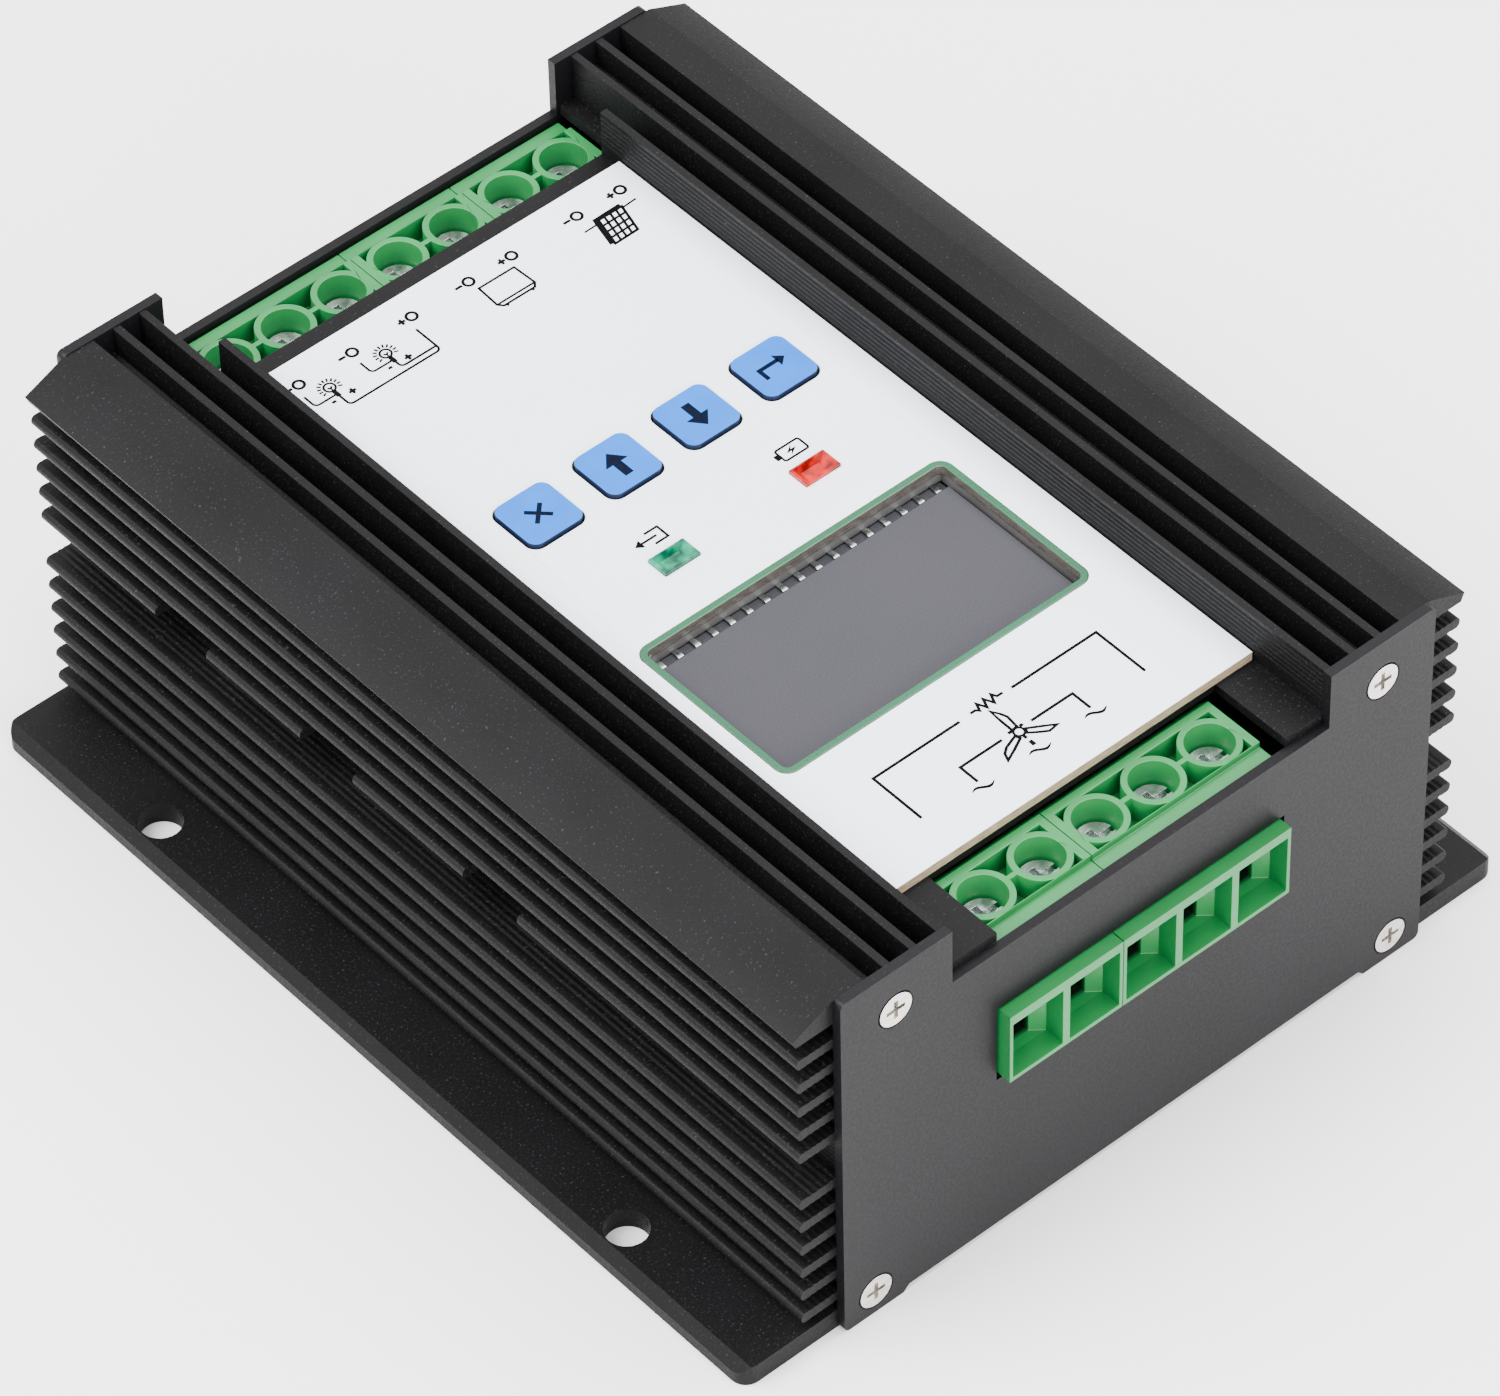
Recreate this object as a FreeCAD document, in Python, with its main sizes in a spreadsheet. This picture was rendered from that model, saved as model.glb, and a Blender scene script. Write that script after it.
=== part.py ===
import FreeCAD, Part
import math
import os
import Sketcher

# A wind and solar charge controller. Millimetres, +Z up out of the front panel.
# The origin is the bottom centre of the base. +Y points at the wind terminals, -Y at the
# solar, battery and load terminals, and +X is the right of a person reading the panel.

SIZES = (
    # extruded heatsink housing
    ("housing_length", 159.0, "length of the extrusion along Y"),
    ("base_half", 69.5, "half width of the mounting flange"),
    ("base_thick", 3.5, "thickness of the base and flange"),
    ("base_bevel", 1.5, "bevel along the flange's upper edge"),
    ("base_corner", 2.5, "radius of the flange's corners in plan"),
    ("wall_outer", 52.0, "outer face of a side wall"),
    ("wall_thick", 3.0, "thickness of a side wall"),
    ("fin_first", 5.5, "underside of the lowest fin"),
    ("fin_pitch", 4.6, "height from fin to fin"),
    ("fin_thick", 1.8, "thickness of a fin"),
    ("fin_tip", 59.3, "X of the fin tips"),
    ("fins_below", 6, "fins under the wide gap"),
    ("fins_above", 5, "fins over the wide gap"),
    ("lip_under", 60.7, "underside of the shoulder over the fins"),
    ("lip_tip", 59.9, "X of the shoulder's edge"),
    ("lip_edge", 62.1, "height of the shoulder's edge"),
    ("lip_flat", 53.2, "X where the shoulder's bevel meets the flat strip"),
    ("strip_inner", 47.7, "inner edge of the flat strip"),
    ("top_height", 65.0, "height of the flat strips and ribs"),
    ("rib_first", 43.1, "inner face of the outermost rib"),
    ("rib_pitch", 4.6, "distance between ribs"),
    ("rib_thick", 1.2, "thickness of a rib"),
    ("deck_top", 57.0, "top of the deck that carries the front panel"),
    ("deck_thick", 1.6, "thickness of the deck"),
    ("boss", 3.2, "radius of a screw boss"),
    ("tapped_hole", 1.3, "radius of a tapped M3 hole"),
    ("upper_screw_x", 43.5, "upper end plate screws"),
    ("upper_screw_height", 57.5, "upper end plate screws"),
    ("lower_screw_x", 47.4, "lower end plate screws"),
    ("lower_screw_height", 4.2, "lower end plate screws"),
    ("ledge_inner", 47.2, "inner edge of the circuit board ledges"),
    ("notch_wind_left", -27.0, "deck notch over the wind terminals, -X side"),
    ("notch_wind_right", 24.6, "deck notch over the wind terminals, +X side"),
    ("notch_wind_edge", 65.8, "inner edge of that notch"),
    ("notch_power_half", 36.0, "half width of the deck notch over the power terminals"),
    ("notch_power_edge", 67.7, "inner edge of that notch, from the centre"),
    ("fin_window", 11.2, "width of the windows milled through one fin"),
    ("fin_window_fin", 7, "step of the fin that has the windows"),
    ("device_front", 17.4, "Y of the transistors nearest the wind end"),
    ("device_middle", -17.0, "Y of the middle transistors"),
    ("device_rear", -48.5, "Y of the transistors nearest the power end"),
    ("bolt_x", 129.0, "mounting hole spacing along X"),
    ("bolt_y", 100.0, "mounting hole spacing along Y"),
    ("bolt_hole", 3.25, "radius of a mounting hole"),
    # end plates and their screws
    ("plate_half", 53.0, "half width of an end plate"),
    ("plate_height", 65.2, "height of an end plate"),
    ("plate_thick", 1.5, "thickness of an end plate"),
    ("plate_tab", 42.5, "inner edge of the plate's corner feet"),
    ("plate_relief", 1.0, "height of the relief between the feet"),
    ("plate_notch_wind", 33.7, "half width of the wind plate's top notch"),
    ("plate_notch_power", 35.5, "half width of the power plate's top notch"),
    ("plate_notch_floor", 55.4, "height of the notch's floor"),
    ("plate_window_wind", 25.9, "half width of the wind plate's terminal window"),
    ("plate_window_low", 30.2, "bottom of a terminal window"),
    ("plate_window_high", 44.1, "top of a terminal window"),
    ("head_radius", 2.75, "radius of a countersunk M3 head"),
    ("sink_radius", 3.15, "radius of the countersink's mouth"),
    ("plate_hole", 1.7, "radius of the screw holes in the plates"),
    ("screw_shank", 1.2, "radius of the M3 shank"),
    ("screw_length", 9.0, "length of the M3 screws"),
    ("cross_length", 3.2, "length of the cross recess in an M3 head"),
    ("cross_width", 0.7, "width of that recess"),
    ("cross_depth", 1.2, "depth of that recess"),
    # circuit board
    ("board_half", 48.7, "half width of the main board"),
    ("board_end", 79.0, "half length of the main board"),
    ("board_top", 29.0, "top of the main board"),
    ("board_thick", 1.6, "thickness of both boards"),
    # rising clamp terminals
    ("terminal_pitch", 10.16, "distance between terminals"),
    ("terminal_row", 72.1, "Y of the clamp screws, from the centre"),
    ("block_back", 64.5, "back face of a terminal block"),
    ("block_front", 79.2, "front face of a terminal block"),
    ("block_step", 76.5, "step along the front edge of the top"),
    ("block_step_drop", 1.0, "depth of that step"),
    ("block_top", 55.25, "top of a terminal block"),
    ("block_slope", 2.0, "bevel along the back edge"),
    ("block_gap", 0.06, "clearance at each end of a block"),
    ("nose_front", 83.0, "front of the nose that stands through the plate"),
    ("nose_low", 30.9, "underside of the nose"),
    ("nose_high", 43.7, "top of the nose"),
    ("collar_outer", 4.45, "radius of a screwdriver collar"),
    ("collar_bore", 3.45, "radius of a collar's bore"),
    ("collar_pocket", 4.0, "depth of the pockets between the collars"),
    ("collar_end", 1.3, "solid strip between the last pocket and a block's end"),
    ("pocket_half", 4.25, "half width of those pockets along Y"),
    ("collar_bar", 0.8, "thickness of the bars between the collars"),
    ("shoulder_top", 49.0, "shoulder that the screw head turns on"),
    ("shoulder_thick", 0.8, "thickness of that shoulder"),
    ("entry_half", 4.45, "half width of a wire entry"),
    ("entry_low", 31.6, "bottom of a wire entry"),
    ("entry_high", 42.0, "top of a wire entry"),
    ("entry_straight", 3.3, "straight depth of a wire entry"),
    ("entry_taper", 1.4, "depth of the entry's funnel"),
    ("throat_half", 2.5, "half width behind the funnel"),
    ("throat_low", 31.8, "bottom behind the funnel"),
    ("throat_high", 40.2, "top behind the funnel"),
    ("cage_half_x", 3.3, "half width of a clamp cage"),
    ("cage_half_y", 3.5, "half depth of a clamp cage"),
    ("cage_low", 32.2, "underside of an open cage"),
    ("cage_floor", 1.0, "thickness of a cage's floor"),
    ("cage_wall", 0.8, "thickness of a cage's sides"),
    ("cage_window", 6.4, "height of a cage's wire window"),
    ("cage_roof", 2.0, "thickness of a cage's tapped roof"),
    ("cage_play", 0.15, "clearance around a cage"),
    ("clamp_head", 3.0, "radius of a clamp screw's head"),
    ("clamp_head_height", 2.15, "height of a clamp screw's head"),
    ("clamp_cross_length", 3.6, "length of the cross recess in a clamp screw"),
    ("clamp_cross_width", 1.0, "width of that recess"),
    ("clamp_cross_depth", 1.5, "depth of that recess"),
    ("clamp_slot_width", 0.9, "width of the slot across a clamp screw"),
    ("clamp_slot_depth", 1.0, "depth of that slot"),
    ("clamp_seat_gap", 0.05, "gap between a clamp screw's head and its shoulder"),
    ("clamp_shank", 1.95, "radius of a clamp screw's shank"),
    ("clamp_play", 0.06, "running clearance of a clamp screw"),
    ("clamp_reach", 8.8, "length of a clamp screw's shank"),
    ("bar_half", 2.2, "half width of a current bar"),
    ("bar_low", 38.4, "underside of a current bar"),
    ("bar_thick", 1.0, "thickness of a current bar"),
    ("bar_back", 66.1, "back of a current bar's leg"),
    ("pin_half", 0.6, "half width of a soldered pin"),
    ("slot_play", 0.1, "clearance of slots and holes round bars and pins"),
    ("pin_length", 3.0, "reach of a soldered pin below the board's top"),
    # front panel and display
    ("panel_half", 33.7, "half width of the front panel"),
    ("panel_low", -63.6, "edge of the panel at the power end"),
    ("panel_high", 66.1, "edge of the panel at the wind end"),
    ("panel_thick", 1.6, "thickness of the panel"),
    ("lcd_half", 27.75, "half width of the display window"),
    ("lcd_low", 10.8, "lower edge of the display window"),
    ("lcd_high", 41.7, "upper edge of the display window"),
    ("lcd_corner", 2.2, "corner radius of the display window"),
    ("bezel_width", 1.1, "width of the display's frame"),
    ("bezel_raise", 0.08, "height of that frame over the panel"),
    ("bezel_overlap", 0.3, "reach of the deck under that frame"),
    ("window_play", 0.05, "gap round the frame and the lamps in their windows"),
    ("glass_low", 14.2, "lower edge of the display glass"),
    ("glass_top", 56.6, "top of the display glass"),
    ("glass_thick", 2.2, "thickness of the display glass"),
    ("lcd_pins", 17, "pins along the display's lower edge"),
    ("lcd_pin_pitch", 3.1, "distance between those pins"),
    ("lcd_pin_row", 13.0, "Y of those pins"),
    ("lcd_pin_half_x", 0.35, "half width of a pin"),
    ("lcd_pin_half_y", 0.25, "half thickness of a pin"),
    ("lcd_pin_rise", 0.3, "height of a pin over the glass"),
    ("led_x_left", -13.3, "X of the charge lamp"),
    ("led_x_right", 12.0, "X of the output lamp"),
    ("led_row", 1.1, "Y of the lamps"),
    ("led_half_x", 3.1, "half width of a lamp"),
    ("led_half_y", 1.85, "half height of a lamp"),
    ("led_raise", 0.6, "height of a lamp over the panel"),
    ("led_bevel", 0.45, "bevel round the top of a lamp"),
    ("key_first", -22.1, "X of the first key"),
    ("key_pitch", 14.17, "distance between keys"),
    ("key_row", -17.3, "Y of the keys"),
    ("key_half", 4.7, "half width of a key"),
    ("key_corner", 1.6, "corner radius of a key"),
    ("key_raise", 0.6, "height of a key over the panel"),
    ("key_gap", 0.35, "gap around a key"),
    ("key_flange", 0.8, "thickness and reach of a key's retaining flange"),
    ("key_drop", 0.1, "gap between the flange and the panel"),
    ("display_half", 34.0, "half width of the display board"),
    ("display_low", -27.0, "lower edge of the display board"),
    ("display_high", 47.0, "upper edge of the display board"),
    ("display_top", 52.0, "top of the display board"),
    ("switch_half", 3.0, "half width of a tact switch"),
    ("switch_top", 55.6, "top of a tact switch's case"),
    ("stem_radius", 1.65, "radius of a tact switch's stem"),
    ("stem_play", 0.08, "running clearance of a stem"),
    ("stem_length", 1.9, "length of a stem"),
    ("spacer_x", 31.2, "X of the display board's spacers"),
    ("spacer_radius", 2.2, "radius of a spacer"),
    # power parts on the main board
    ("can_radius", 8.0, "radius of a capacitor"),
    ("can_height", 20.0, "height of a capacitor"),
    ("core_outer", 15.0, "outer radius of the inductor core"),
    ("core_inner", 8.0, "inner radius of the inductor core"),
    ("core_lift", 0.3, "gap between the winding and the board"),
    ("core_height", 11.0, "height of the inductor core"),
    ("wire_thick", 1.5, "thickness of the inductor's wire"),
    ("wire_play", 0.1, "gap between the core and its winding"),
    ("wire_turns", 12, "turns on the inductor"),
    ("inductor_y", 28.0, "Y of the inductor"),
    ("device_half", 5.0, "half width of a transistor"),
    ("device_low", 33.0, "underside of a transistor's case"),
    ("device_high", 42.0, "top of a transistor's case"),
    ("device_thick", 4.4, "thickness of a transistor's case"),
    ("tab_high", 48.2, "top of a transistor's metal tab"),
    ("tab_hole", 1.8, "radius of the hole in that tab"),
    ("tab_head", 2.75, "radius of a tab screw's head"),
    ("tab_head_height", 2.0, "height of that head"),
    ("leg_offset", 2.6, "distance from a transistor's back to its legs"),
    ("leg_pitch", 2.54, "distance between those legs"),
    ("leg_half_x", 0.4, "half thickness of a leg"),
    ("leg_half_y", 0.3, "half width of a leg"),
    ("leg_hole", 0.6, "radius of the board's holes for the legs"),
    ("tab_thick", 1.3, "thickness of a transistor's tab"),
    ("tab_screw_height", 45.3, "height of the screws through the tabs"),
    ("header_half", 10.2, "half length of the board connector"),
)

doc = FreeCAD.newDocument("charge_controller")
sheet = doc.addObject("Spreadsheet::Sheet", "sizes")
for row, (alias, amount, meaning) in enumerate(SIZES, start=1):
    sheet.set("A%d" % row, alias)
    sheet.set("B%d" % row, str(amount))
    sheet.set("C%d" % row, meaning)
    sheet.setAlias("B%d" % row, alias)
doc.recompute()


# Two coordinates in mm that differ by less than this are the same.
touching = 0.001


class Size:
    """A number that keeps the spreadsheet formula it was worked out from."""

    def __init__(self, value, formula):
        self.value = float(value)
        self.formula = formula

    def __add__(self, other):
        other = as_size(other)
        return Size(self.value + other.value, "(%s + %s)" % (self.formula, other.formula))

    def __sub__(self, other):
        other = as_size(other)
        return Size(self.value - other.value, "(%s - %s)" % (self.formula, other.formula))

    def __mul__(self, other):
        other = as_size(other)
        return Size(self.value * other.value, "(%s * %s)" % (self.formula, other.formula))

    def __truediv__(self, other):
        other = as_size(other)
        return Size(self.value / other.value, "(%s / %s)" % (self.formula, other.formula))

    def __radd__(self, other):
        return as_size(other) + self

    def __rsub__(self, other):
        return as_size(other) - self

    def __rmul__(self, other):
        return as_size(other) * self

    def __neg__(self):
        return Size(-self.value, "(0 - %s)" % self.formula)


def as_size(number):
    if isinstance(number, Size):
        return number
    return Size(number, "(%.10g)" % number)


def cell(alias):
    return Size(getattr(sheet, alias), "sizes." + alias)


def both_ways(amount):
    """The span from -amount to +amount."""
    return (-amount, amount)


def around(centre, half):
    """The span of width 2 * half about a centre."""
    return (centre - half, centre + half)


nodes = []


def keep(item, label):
    """Registers a finished sub-part under the name of its node."""
    item.Label = label
    nodes.append(item)
    return item


def bind(item, name, amount):
    item.setExpression(name, as_size(amount).formula)


def place(item, x, y, z):
    bind(item, "Placement.Base.x", x)
    bind(item, "Placement.Base.y", y)
    bind(item, "Placement.Base.z", z)


def box(name, x, y, z):
    """A block given by its span along each axis."""
    item = doc.addObject("Part::Box", name)
    bind(item, "Length", x[1] - x[0])
    bind(item, "Width", y[1] - y[0])
    bind(item, "Height", z[1] - z[0])
    place(item, x[0], y[0], z[0])
    return item


def post(name, x, y, z, radius):
    """An upright cylinder over the span z."""
    item = doc.addObject("Part::Cylinder", name)
    bind(item, "Radius", radius)
    bind(item, "Height", z[1] - z[0])
    place(item, x, y, z[0])
    return item


def fuse(name, items):
    item = doc.addObject("Part::MultiFuse", name)
    item.Shapes = items
    item.Refine = True
    return item


def cut(name, base, tools):
    tool = tools[0]
    if len(tools) > 1:
        tool = doc.addObject("Part::MultiFuse", name + "_tools")
        tool.Shapes = tools
    item = doc.addObject("Part::Cut", name)
    item.Base = base
    item.Tool = tool
    item.Refine = True
    return item


def group(name, items):
    """Separate identical solids that share one node."""
    item = doc.addObject("Part::Compound", name)
    item.Links = items
    return item


def origin_feature(body, role):
    return [item for item in body.Origin.OriginFeatures if item.Role == role][0]


def sketch_on(body, name, plane, height=0.0):
    """A sketch on one of the body's own planes, lifted by height along that plane's normal."""
    sketch = body.newObject("Sketcher::SketchObject", name)
    sketch.AttachmentSupport = [(origin_feature(body, plane), "")]
    sketch.MapMode = "FlatFace"
    bind(sketch, "AttachmentOffset.Base.z", height)
    return sketch


def hold(sketch, kind, geometry, point, amount):
    """Fixes one coordinate of a point, measured from the sketch's origin."""
    amount = as_size(amount)
    index = sketch.addConstraint(
        Sketcher.Constraint(kind, -1, 1, geometry, point, amount.value)
    )
    sketch.setExpression("Constraints[%d]" % index, amount.formula)


def draw_outline(sketch, corners):
    """A closed outline of straight lines whose corners all come from the spreadsheet."""
    corners = [(as_size(a), as_size(b)) for a, b in corners]
    first = sketch.GeometryCount
    for here, there in zip(corners, corners[1:] + corners[:1]):
        start = FreeCAD.Vector(here[0].value, here[1].value, 0)
        end = FreeCAD.Vector(there[0].value, there[1].value, 0)
        sketch.addGeometry(Part.LineSegment(start, end), False)
    count = len(corners)
    for step in range(count):
        following = first + (step + 1) % count
        sketch.addConstraint(Sketcher.Constraint("Coincident", first + step, 2, following, 1))
    for step, corner in enumerate(corners):
        hold(sketch, "DistanceX", first + step, 1, corner[0])
        hold(sketch, "DistanceY", first + step, 1, corner[1])


def draw_rectangle(sketch, across, along):
    low, high = across
    bottom, top = along
    draw_outline(sketch, [(low, bottom), (high, bottom), (high, top), (low, top)])


def draw_circle(sketch, across, along, radius):
    across, along, radius = as_size(across), as_size(along), as_size(radius)
    centre = FreeCAD.Vector(across.value, along.value, 0)
    circle = Part.Circle(centre, FreeCAD.Vector(0, 0, 1), radius.value)
    index = sketch.addGeometry(circle, False)
    hold(sketch, "DistanceX", index, 3, across)
    hold(sketch, "DistanceY", index, 3, along)
    size = sketch.addConstraint(Sketcher.Constraint("Radius", index, radius.value))
    sketch.setExpression("Constraints[%d]" % size, radius.formula)


def pad(body, sketch, length, midplane=False):
    feature = body.newObject("PartDesign::Pad", sketch.Name + "_pad")
    feature.Profile = sketch
    bind(feature, "Length", length)
    feature.Midplane = midplane
    return feature


def pocket(body, sketch, depth, midplane=False):
    """Cuts against the sketch's normal, or to both sides of it."""
    feature = body.newObject("PartDesign::Pocket", sketch.Name + "_pocket")
    feature.Profile = sketch
    bind(feature, "Length", depth)
    feature.Midplane = midplane
    return feature


def repeat(body, feature, axis, spacing, times):
    pattern = body.newObject("PartDesign::LinearPattern", feature.Name + "_row")
    pattern.Originals = [feature]
    pattern.Direction = (origin_feature(body, axis), [""])
    bind(pattern, "Length", spacing * (times - 1))
    bind(pattern, "Occurrences", times)
    body.Tip = pattern
    return pattern


def round_edges(body, radius, wanted):
    """Fillets every edge of the body whose two ends and length pass the test wanted."""
    doc.recompute()
    base = body.Tip
    names = []
    for number, edge in enumerate(base.Shape.Edges, start=1):
        ends = [vertex.Point for vertex in edge.Vertexes]
        if len(ends) == 2 and wanted(ends[0], ends[1]):
            names.append("Edge%d" % number)
    fillet = body.newObject("PartDesign::Fillet", base.Name + "_round")
    fillet.Base = (base, names)
    bind(fillet, "Radius", radius)
    return fillet


def upright(start, end):
    return math.hypot(start.x - end.x, start.y - end.y) < touching


deck_under = cell("deck_top") - cell("deck_thick")
board_under = cell("board_top") - cell("board_thick")
panel_top = cell("deck_top") + cell("panel_thick")
wall_inner = cell("wall_outer") - cell("wall_thick")
past_top = 5.0


def mirrored(corners):
    """Adds the same corners reflected in X, in reverse order."""
    return corners + [(-a, b) for a, b in reversed(corners)]


def plate_screw_places():
    """X and height of the four screws at each end."""
    places = []
    for side in (-1, 1):
        places.append((cell("upper_screw_x") * side, cell("upper_screw_height")))
        places.append((cell("lower_screw_x") * side, cell("lower_screw_height")))
    return places


def device_rows():
    return [cell("device_rear"), cell("device_middle"), cell("device_front")]


def heatsink_housing():
    """One extrusion: flange, base, side walls, fins, shoulders, ribs and the panel deck."""
    body = doc.addObject("PartDesign::Body", "heatsink_housing")
    length = cell("housing_length")
    right = [
        (cell("base_half"), as_size(0)),
        (cell("base_half"), cell("base_thick") - cell("base_bevel")),
        (cell("base_half") - cell("base_bevel"), cell("base_thick")),
        (cell("wall_outer"), cell("base_thick")),
        (cell("wall_outer"), cell("lip_under")),
        (cell("fin_tip"), cell("lip_under")),
        (cell("lip_tip"), cell("lip_edge")),
        (cell("lip_flat"), cell("top_height")),
        (cell("strip_inner"), cell("top_height")),
        (cell("strip_inner"), cell("deck_top")),
    ]
    for step in range(3):
        inner = cell("rib_first") - cell("rib_pitch") * step
        outer = inner + cell("rib_thick")
        right.append((outer, cell("deck_top")))
        right.append((outer, cell("top_height")))
        right.append((inner, cell("top_height")))
        right.append((inner, cell("deck_top")))
    section = sketch_on(body, "shell_section", "XZ_Plane")
    draw_outline(section, mirrored(right))
    draw_rectangle(section, both_ways(wall_inner), (cell("base_thick"), deck_under))
    pad(body, section, length, midplane=True)

    def is_flange_corner(start, end):
        on_side = abs(abs(start.x) - cell("base_half").value) < touching
        return upright(start, end) and on_side

    round_edges(body, cell("base_corner"), is_flange_corner)

    steps = ((0, cell("fins_below"), "lower"), (7, cell("fins_above"), "upper"))
    for first, count, name in steps:
        fin = sketch_on(body, name + "_fins", "XZ_Plane")
        low = cell("fin_first") + cell("fin_pitch") * first
        root = cell("wall_outer") - cell("wall_thick") / 2
        draw_rectangle(fin, (root, cell("fin_tip")), (low, low + cell("fin_thick")))
        draw_rectangle(fin, (-cell("fin_tip"), -root), (low, low + cell("fin_thick")))
        repeat(body, pad(body, fin, length, midplane=True), "Z_Axis", cell("fin_pitch"), count)

    bosses = sketch_on(body, "screw_bosses", "XZ_Plane")
    for x, height in plate_screw_places():
        draw_circle(bosses, x, height, cell("boss"))
    pad(body, bosses, length, midplane=True)
    ledges = sketch_on(body, "board_ledges", "XZ_Plane")
    for side in (-1, 1):
        inner = cell("ledge_inner") * side
        outer = (wall_inner + cell("wall_thick") / 2) * side
        ledge = (board_under - cell("board_thick"), board_under)
        draw_rectangle(ledges, (inner, outer), ledge)
    pad(body, ledges, length, midplane=True)
    ports = sketch_on(body, "tapped_ports", "XZ_Plane")
    for x, height in plate_screw_places():
        draw_circle(ports, x, height, cell("tapped_hole"))
    pocket(body, ports, length + 2, midplane=True)

    deck = sketch_on(body, "deck_cutouts", "XY_Plane", cell("top_height") + past_top)
    half = length / 2
    wind_span = (cell("notch_wind_left"), cell("notch_wind_right"))
    draw_rectangle(deck, wind_span, (cell("notch_wind_edge"), half + 1))
    power_span = both_ways(cell("notch_power_half"))
    draw_rectangle(deck, power_span, (-half - 1, -cell("notch_power_edge")))
    frame = cell("bezel_width") - cell("bezel_overlap")
    lcd_span = both_ways(cell("lcd_half") - frame)
    draw_rectangle(deck, lcd_span, (cell("lcd_low") + frame, cell("lcd_high") - frame))
    key_reach = cell("key_half") + cell("key_gap") + cell("key_flange") * 2
    keys_low = cell("key_row") - key_reach
    lamps_high = cell("led_row") + cell("led_half_y") + 2
    draw_rectangle(deck, both_ways(-cell("key_first") + key_reach), (keys_low, lamps_high))
    pocket(body, deck, cell("top_height") + past_top - deck_under + 0.5)

    window_fin = cell("fin_first") + cell("fin_pitch") * cell("fin_window_fin")
    windows = sketch_on(body, "fin_windows", "XY_Plane", window_fin + cell("fin_thick") + 0.5)
    for side in (-1, 1):
        for row in device_rows():
            across = (cell("wall_outer") * side, (cell("fin_tip") + 1) * side)
            draw_rectangle(windows, across, around(row, cell("fin_window") / 2))
    pocket(body, windows, cell("fin_thick") + 1)

    holes = sketch_on(body, "mounting_holes", "XY_Plane", cell("base_thick") + 1)
    for x in both_ways(cell("bolt_x") / 2):
        for y in both_ways(cell("bolt_y") / 2):
            draw_circle(holes, x, y, cell("bolt_hole"))
    pocket(body, holes, cell("base_thick") + 2)
    keep(body, "heatsink_housing")


def end_plate(label, notch_half, window_half, direction):
    """A folded-flat steel plate with a notch over the terminals and a window for their noses."""
    body = doc.addObject("PartDesign::Body", label)
    half, thick = cell("housing_length") / 2, cell("plate_thick")
    relief, tab = cell("plate_relief"), cell("plate_tab")
    middle = (half + thick / 2) * -direction
    outline = sketch_on(body, label + "_outline", "XZ_Plane", middle)
    corners = [
        (tab - relief, relief),
        (tab, as_size(0)),
        (cell("plate_half"), as_size(0)),
        (cell("plate_half"), cell("plate_height")),
        (notch_half, cell("plate_height")),
        (notch_half, cell("plate_notch_floor")),
    ]
    draw_outline(outline, mirrored(corners))
    window = (cell("plate_window_low"), cell("plate_window_high"))
    draw_rectangle(outline, both_ways(window_half), window)
    pad(body, outline, thick, midplane=True)

    def is_outer_corner(start, end):
        along_y = abs(start.x - end.x) + abs(start.z - end.z) < touching
        return along_y and abs(abs(start.x) - cell("plate_half").value) < touching

    round_edges(body, 1.0, is_outer_corner)
    holes = sketch_on(body, label + "_holes", "XZ_Plane", middle)
    for x, height in plate_screw_places():
        draw_circle(holes, x, height, cell("plate_hole"))
    pocket(body, holes, thick + 1, midplane=True)
    outer_face = half.value + thick.value
    doc.recompute()
    drilled = body.Tip
    rims = []
    for number, edge in enumerate(drilled.Shape.Edges, start=1):
        on_face = abs(abs(edge.BoundBox.Center.y) - outer_face) < touching
        if on_face and edge.Curve.TypeId == "Part::GeomCircle" and len(edge.Vertexes) == 1:
            rims.append("Edge%d" % number)
    sink = body.newObject("PartDesign::Chamfer", label + "_countersinks")
    sink.Base = (drilled, rims)
    bind(sink, "Size", (cell("sink_radius") - cell("plate_hole")) * 0.95)
    keep(body, label)


def cross_recess(name, x, y, top, kind):
    """The blades of a cross recess, as two blocks sunk below a screw head's top."""
    length, width = cell(kind + "_length"), cell(kind + "_width")
    span = (top - cell(kind + "_depth"), top + 1)
    first = box(name + "_blade_a", around(x, length / 2), around(y, width / 2), span)
    second = box(name + "_blade_b", around(x, width / 2), around(y, length / 2), span)
    return [first, second]


def end_plate_screws():
    """Eight countersunk M3 screws, each modelled upright and then laid along Y."""
    screws = []
    head_height = cell("head_radius") - cell("screw_shank")
    for direction in (-1, 1):
        for x, height in plate_screw_places():
            name = "plate_screw_%d" % (len(screws) + 1)
            head = doc.addObject("Part::Cone", name + "_head")
            bind(head, "Radius1", cell("screw_shank"))
            bind(head, "Radius2", cell("head_radius"))
            bind(head, "Height", head_height)
            place(head, 0, 0, -head_height)
            shank_span = (-cell("screw_length"), -head_height)
            shank = post(name + "_shank", 0, 0, shank_span, cell("screw_shank"))
            solid = fuse(name + "_blank", [head, shank])
            recess = cross_recess(name, as_size(0), as_size(0), as_size(0), "cross")
            screw = cut(name, solid, recess)
            screw.Placement.Rotation = FreeCAD.Rotation(FreeCAD.Vector(1, 0, 0), -90 * direction)
            face = cell("housing_length") / 2 + cell("plate_thick")
            place(screw, x, face * direction, height)
            screws.append(screw)
    keep(group("end_plate_screws", screws), "end_plate_screws")


def terminal_places(first, count):
    """X of each clamp screw of a block, numbered in pitches from the row's middle."""
    return [cell("terminal_pitch") * (first + step) for step in range(count)]


def turned(item, direction):
    """Terminals are drawn at the wind end. Those of the power end are turned half a turn."""
    if direction < 0:
        item.Placement.Rotation = FreeCAD.Rotation(FreeCAD.Vector(0, 0, 1), 180)
    return item


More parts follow.
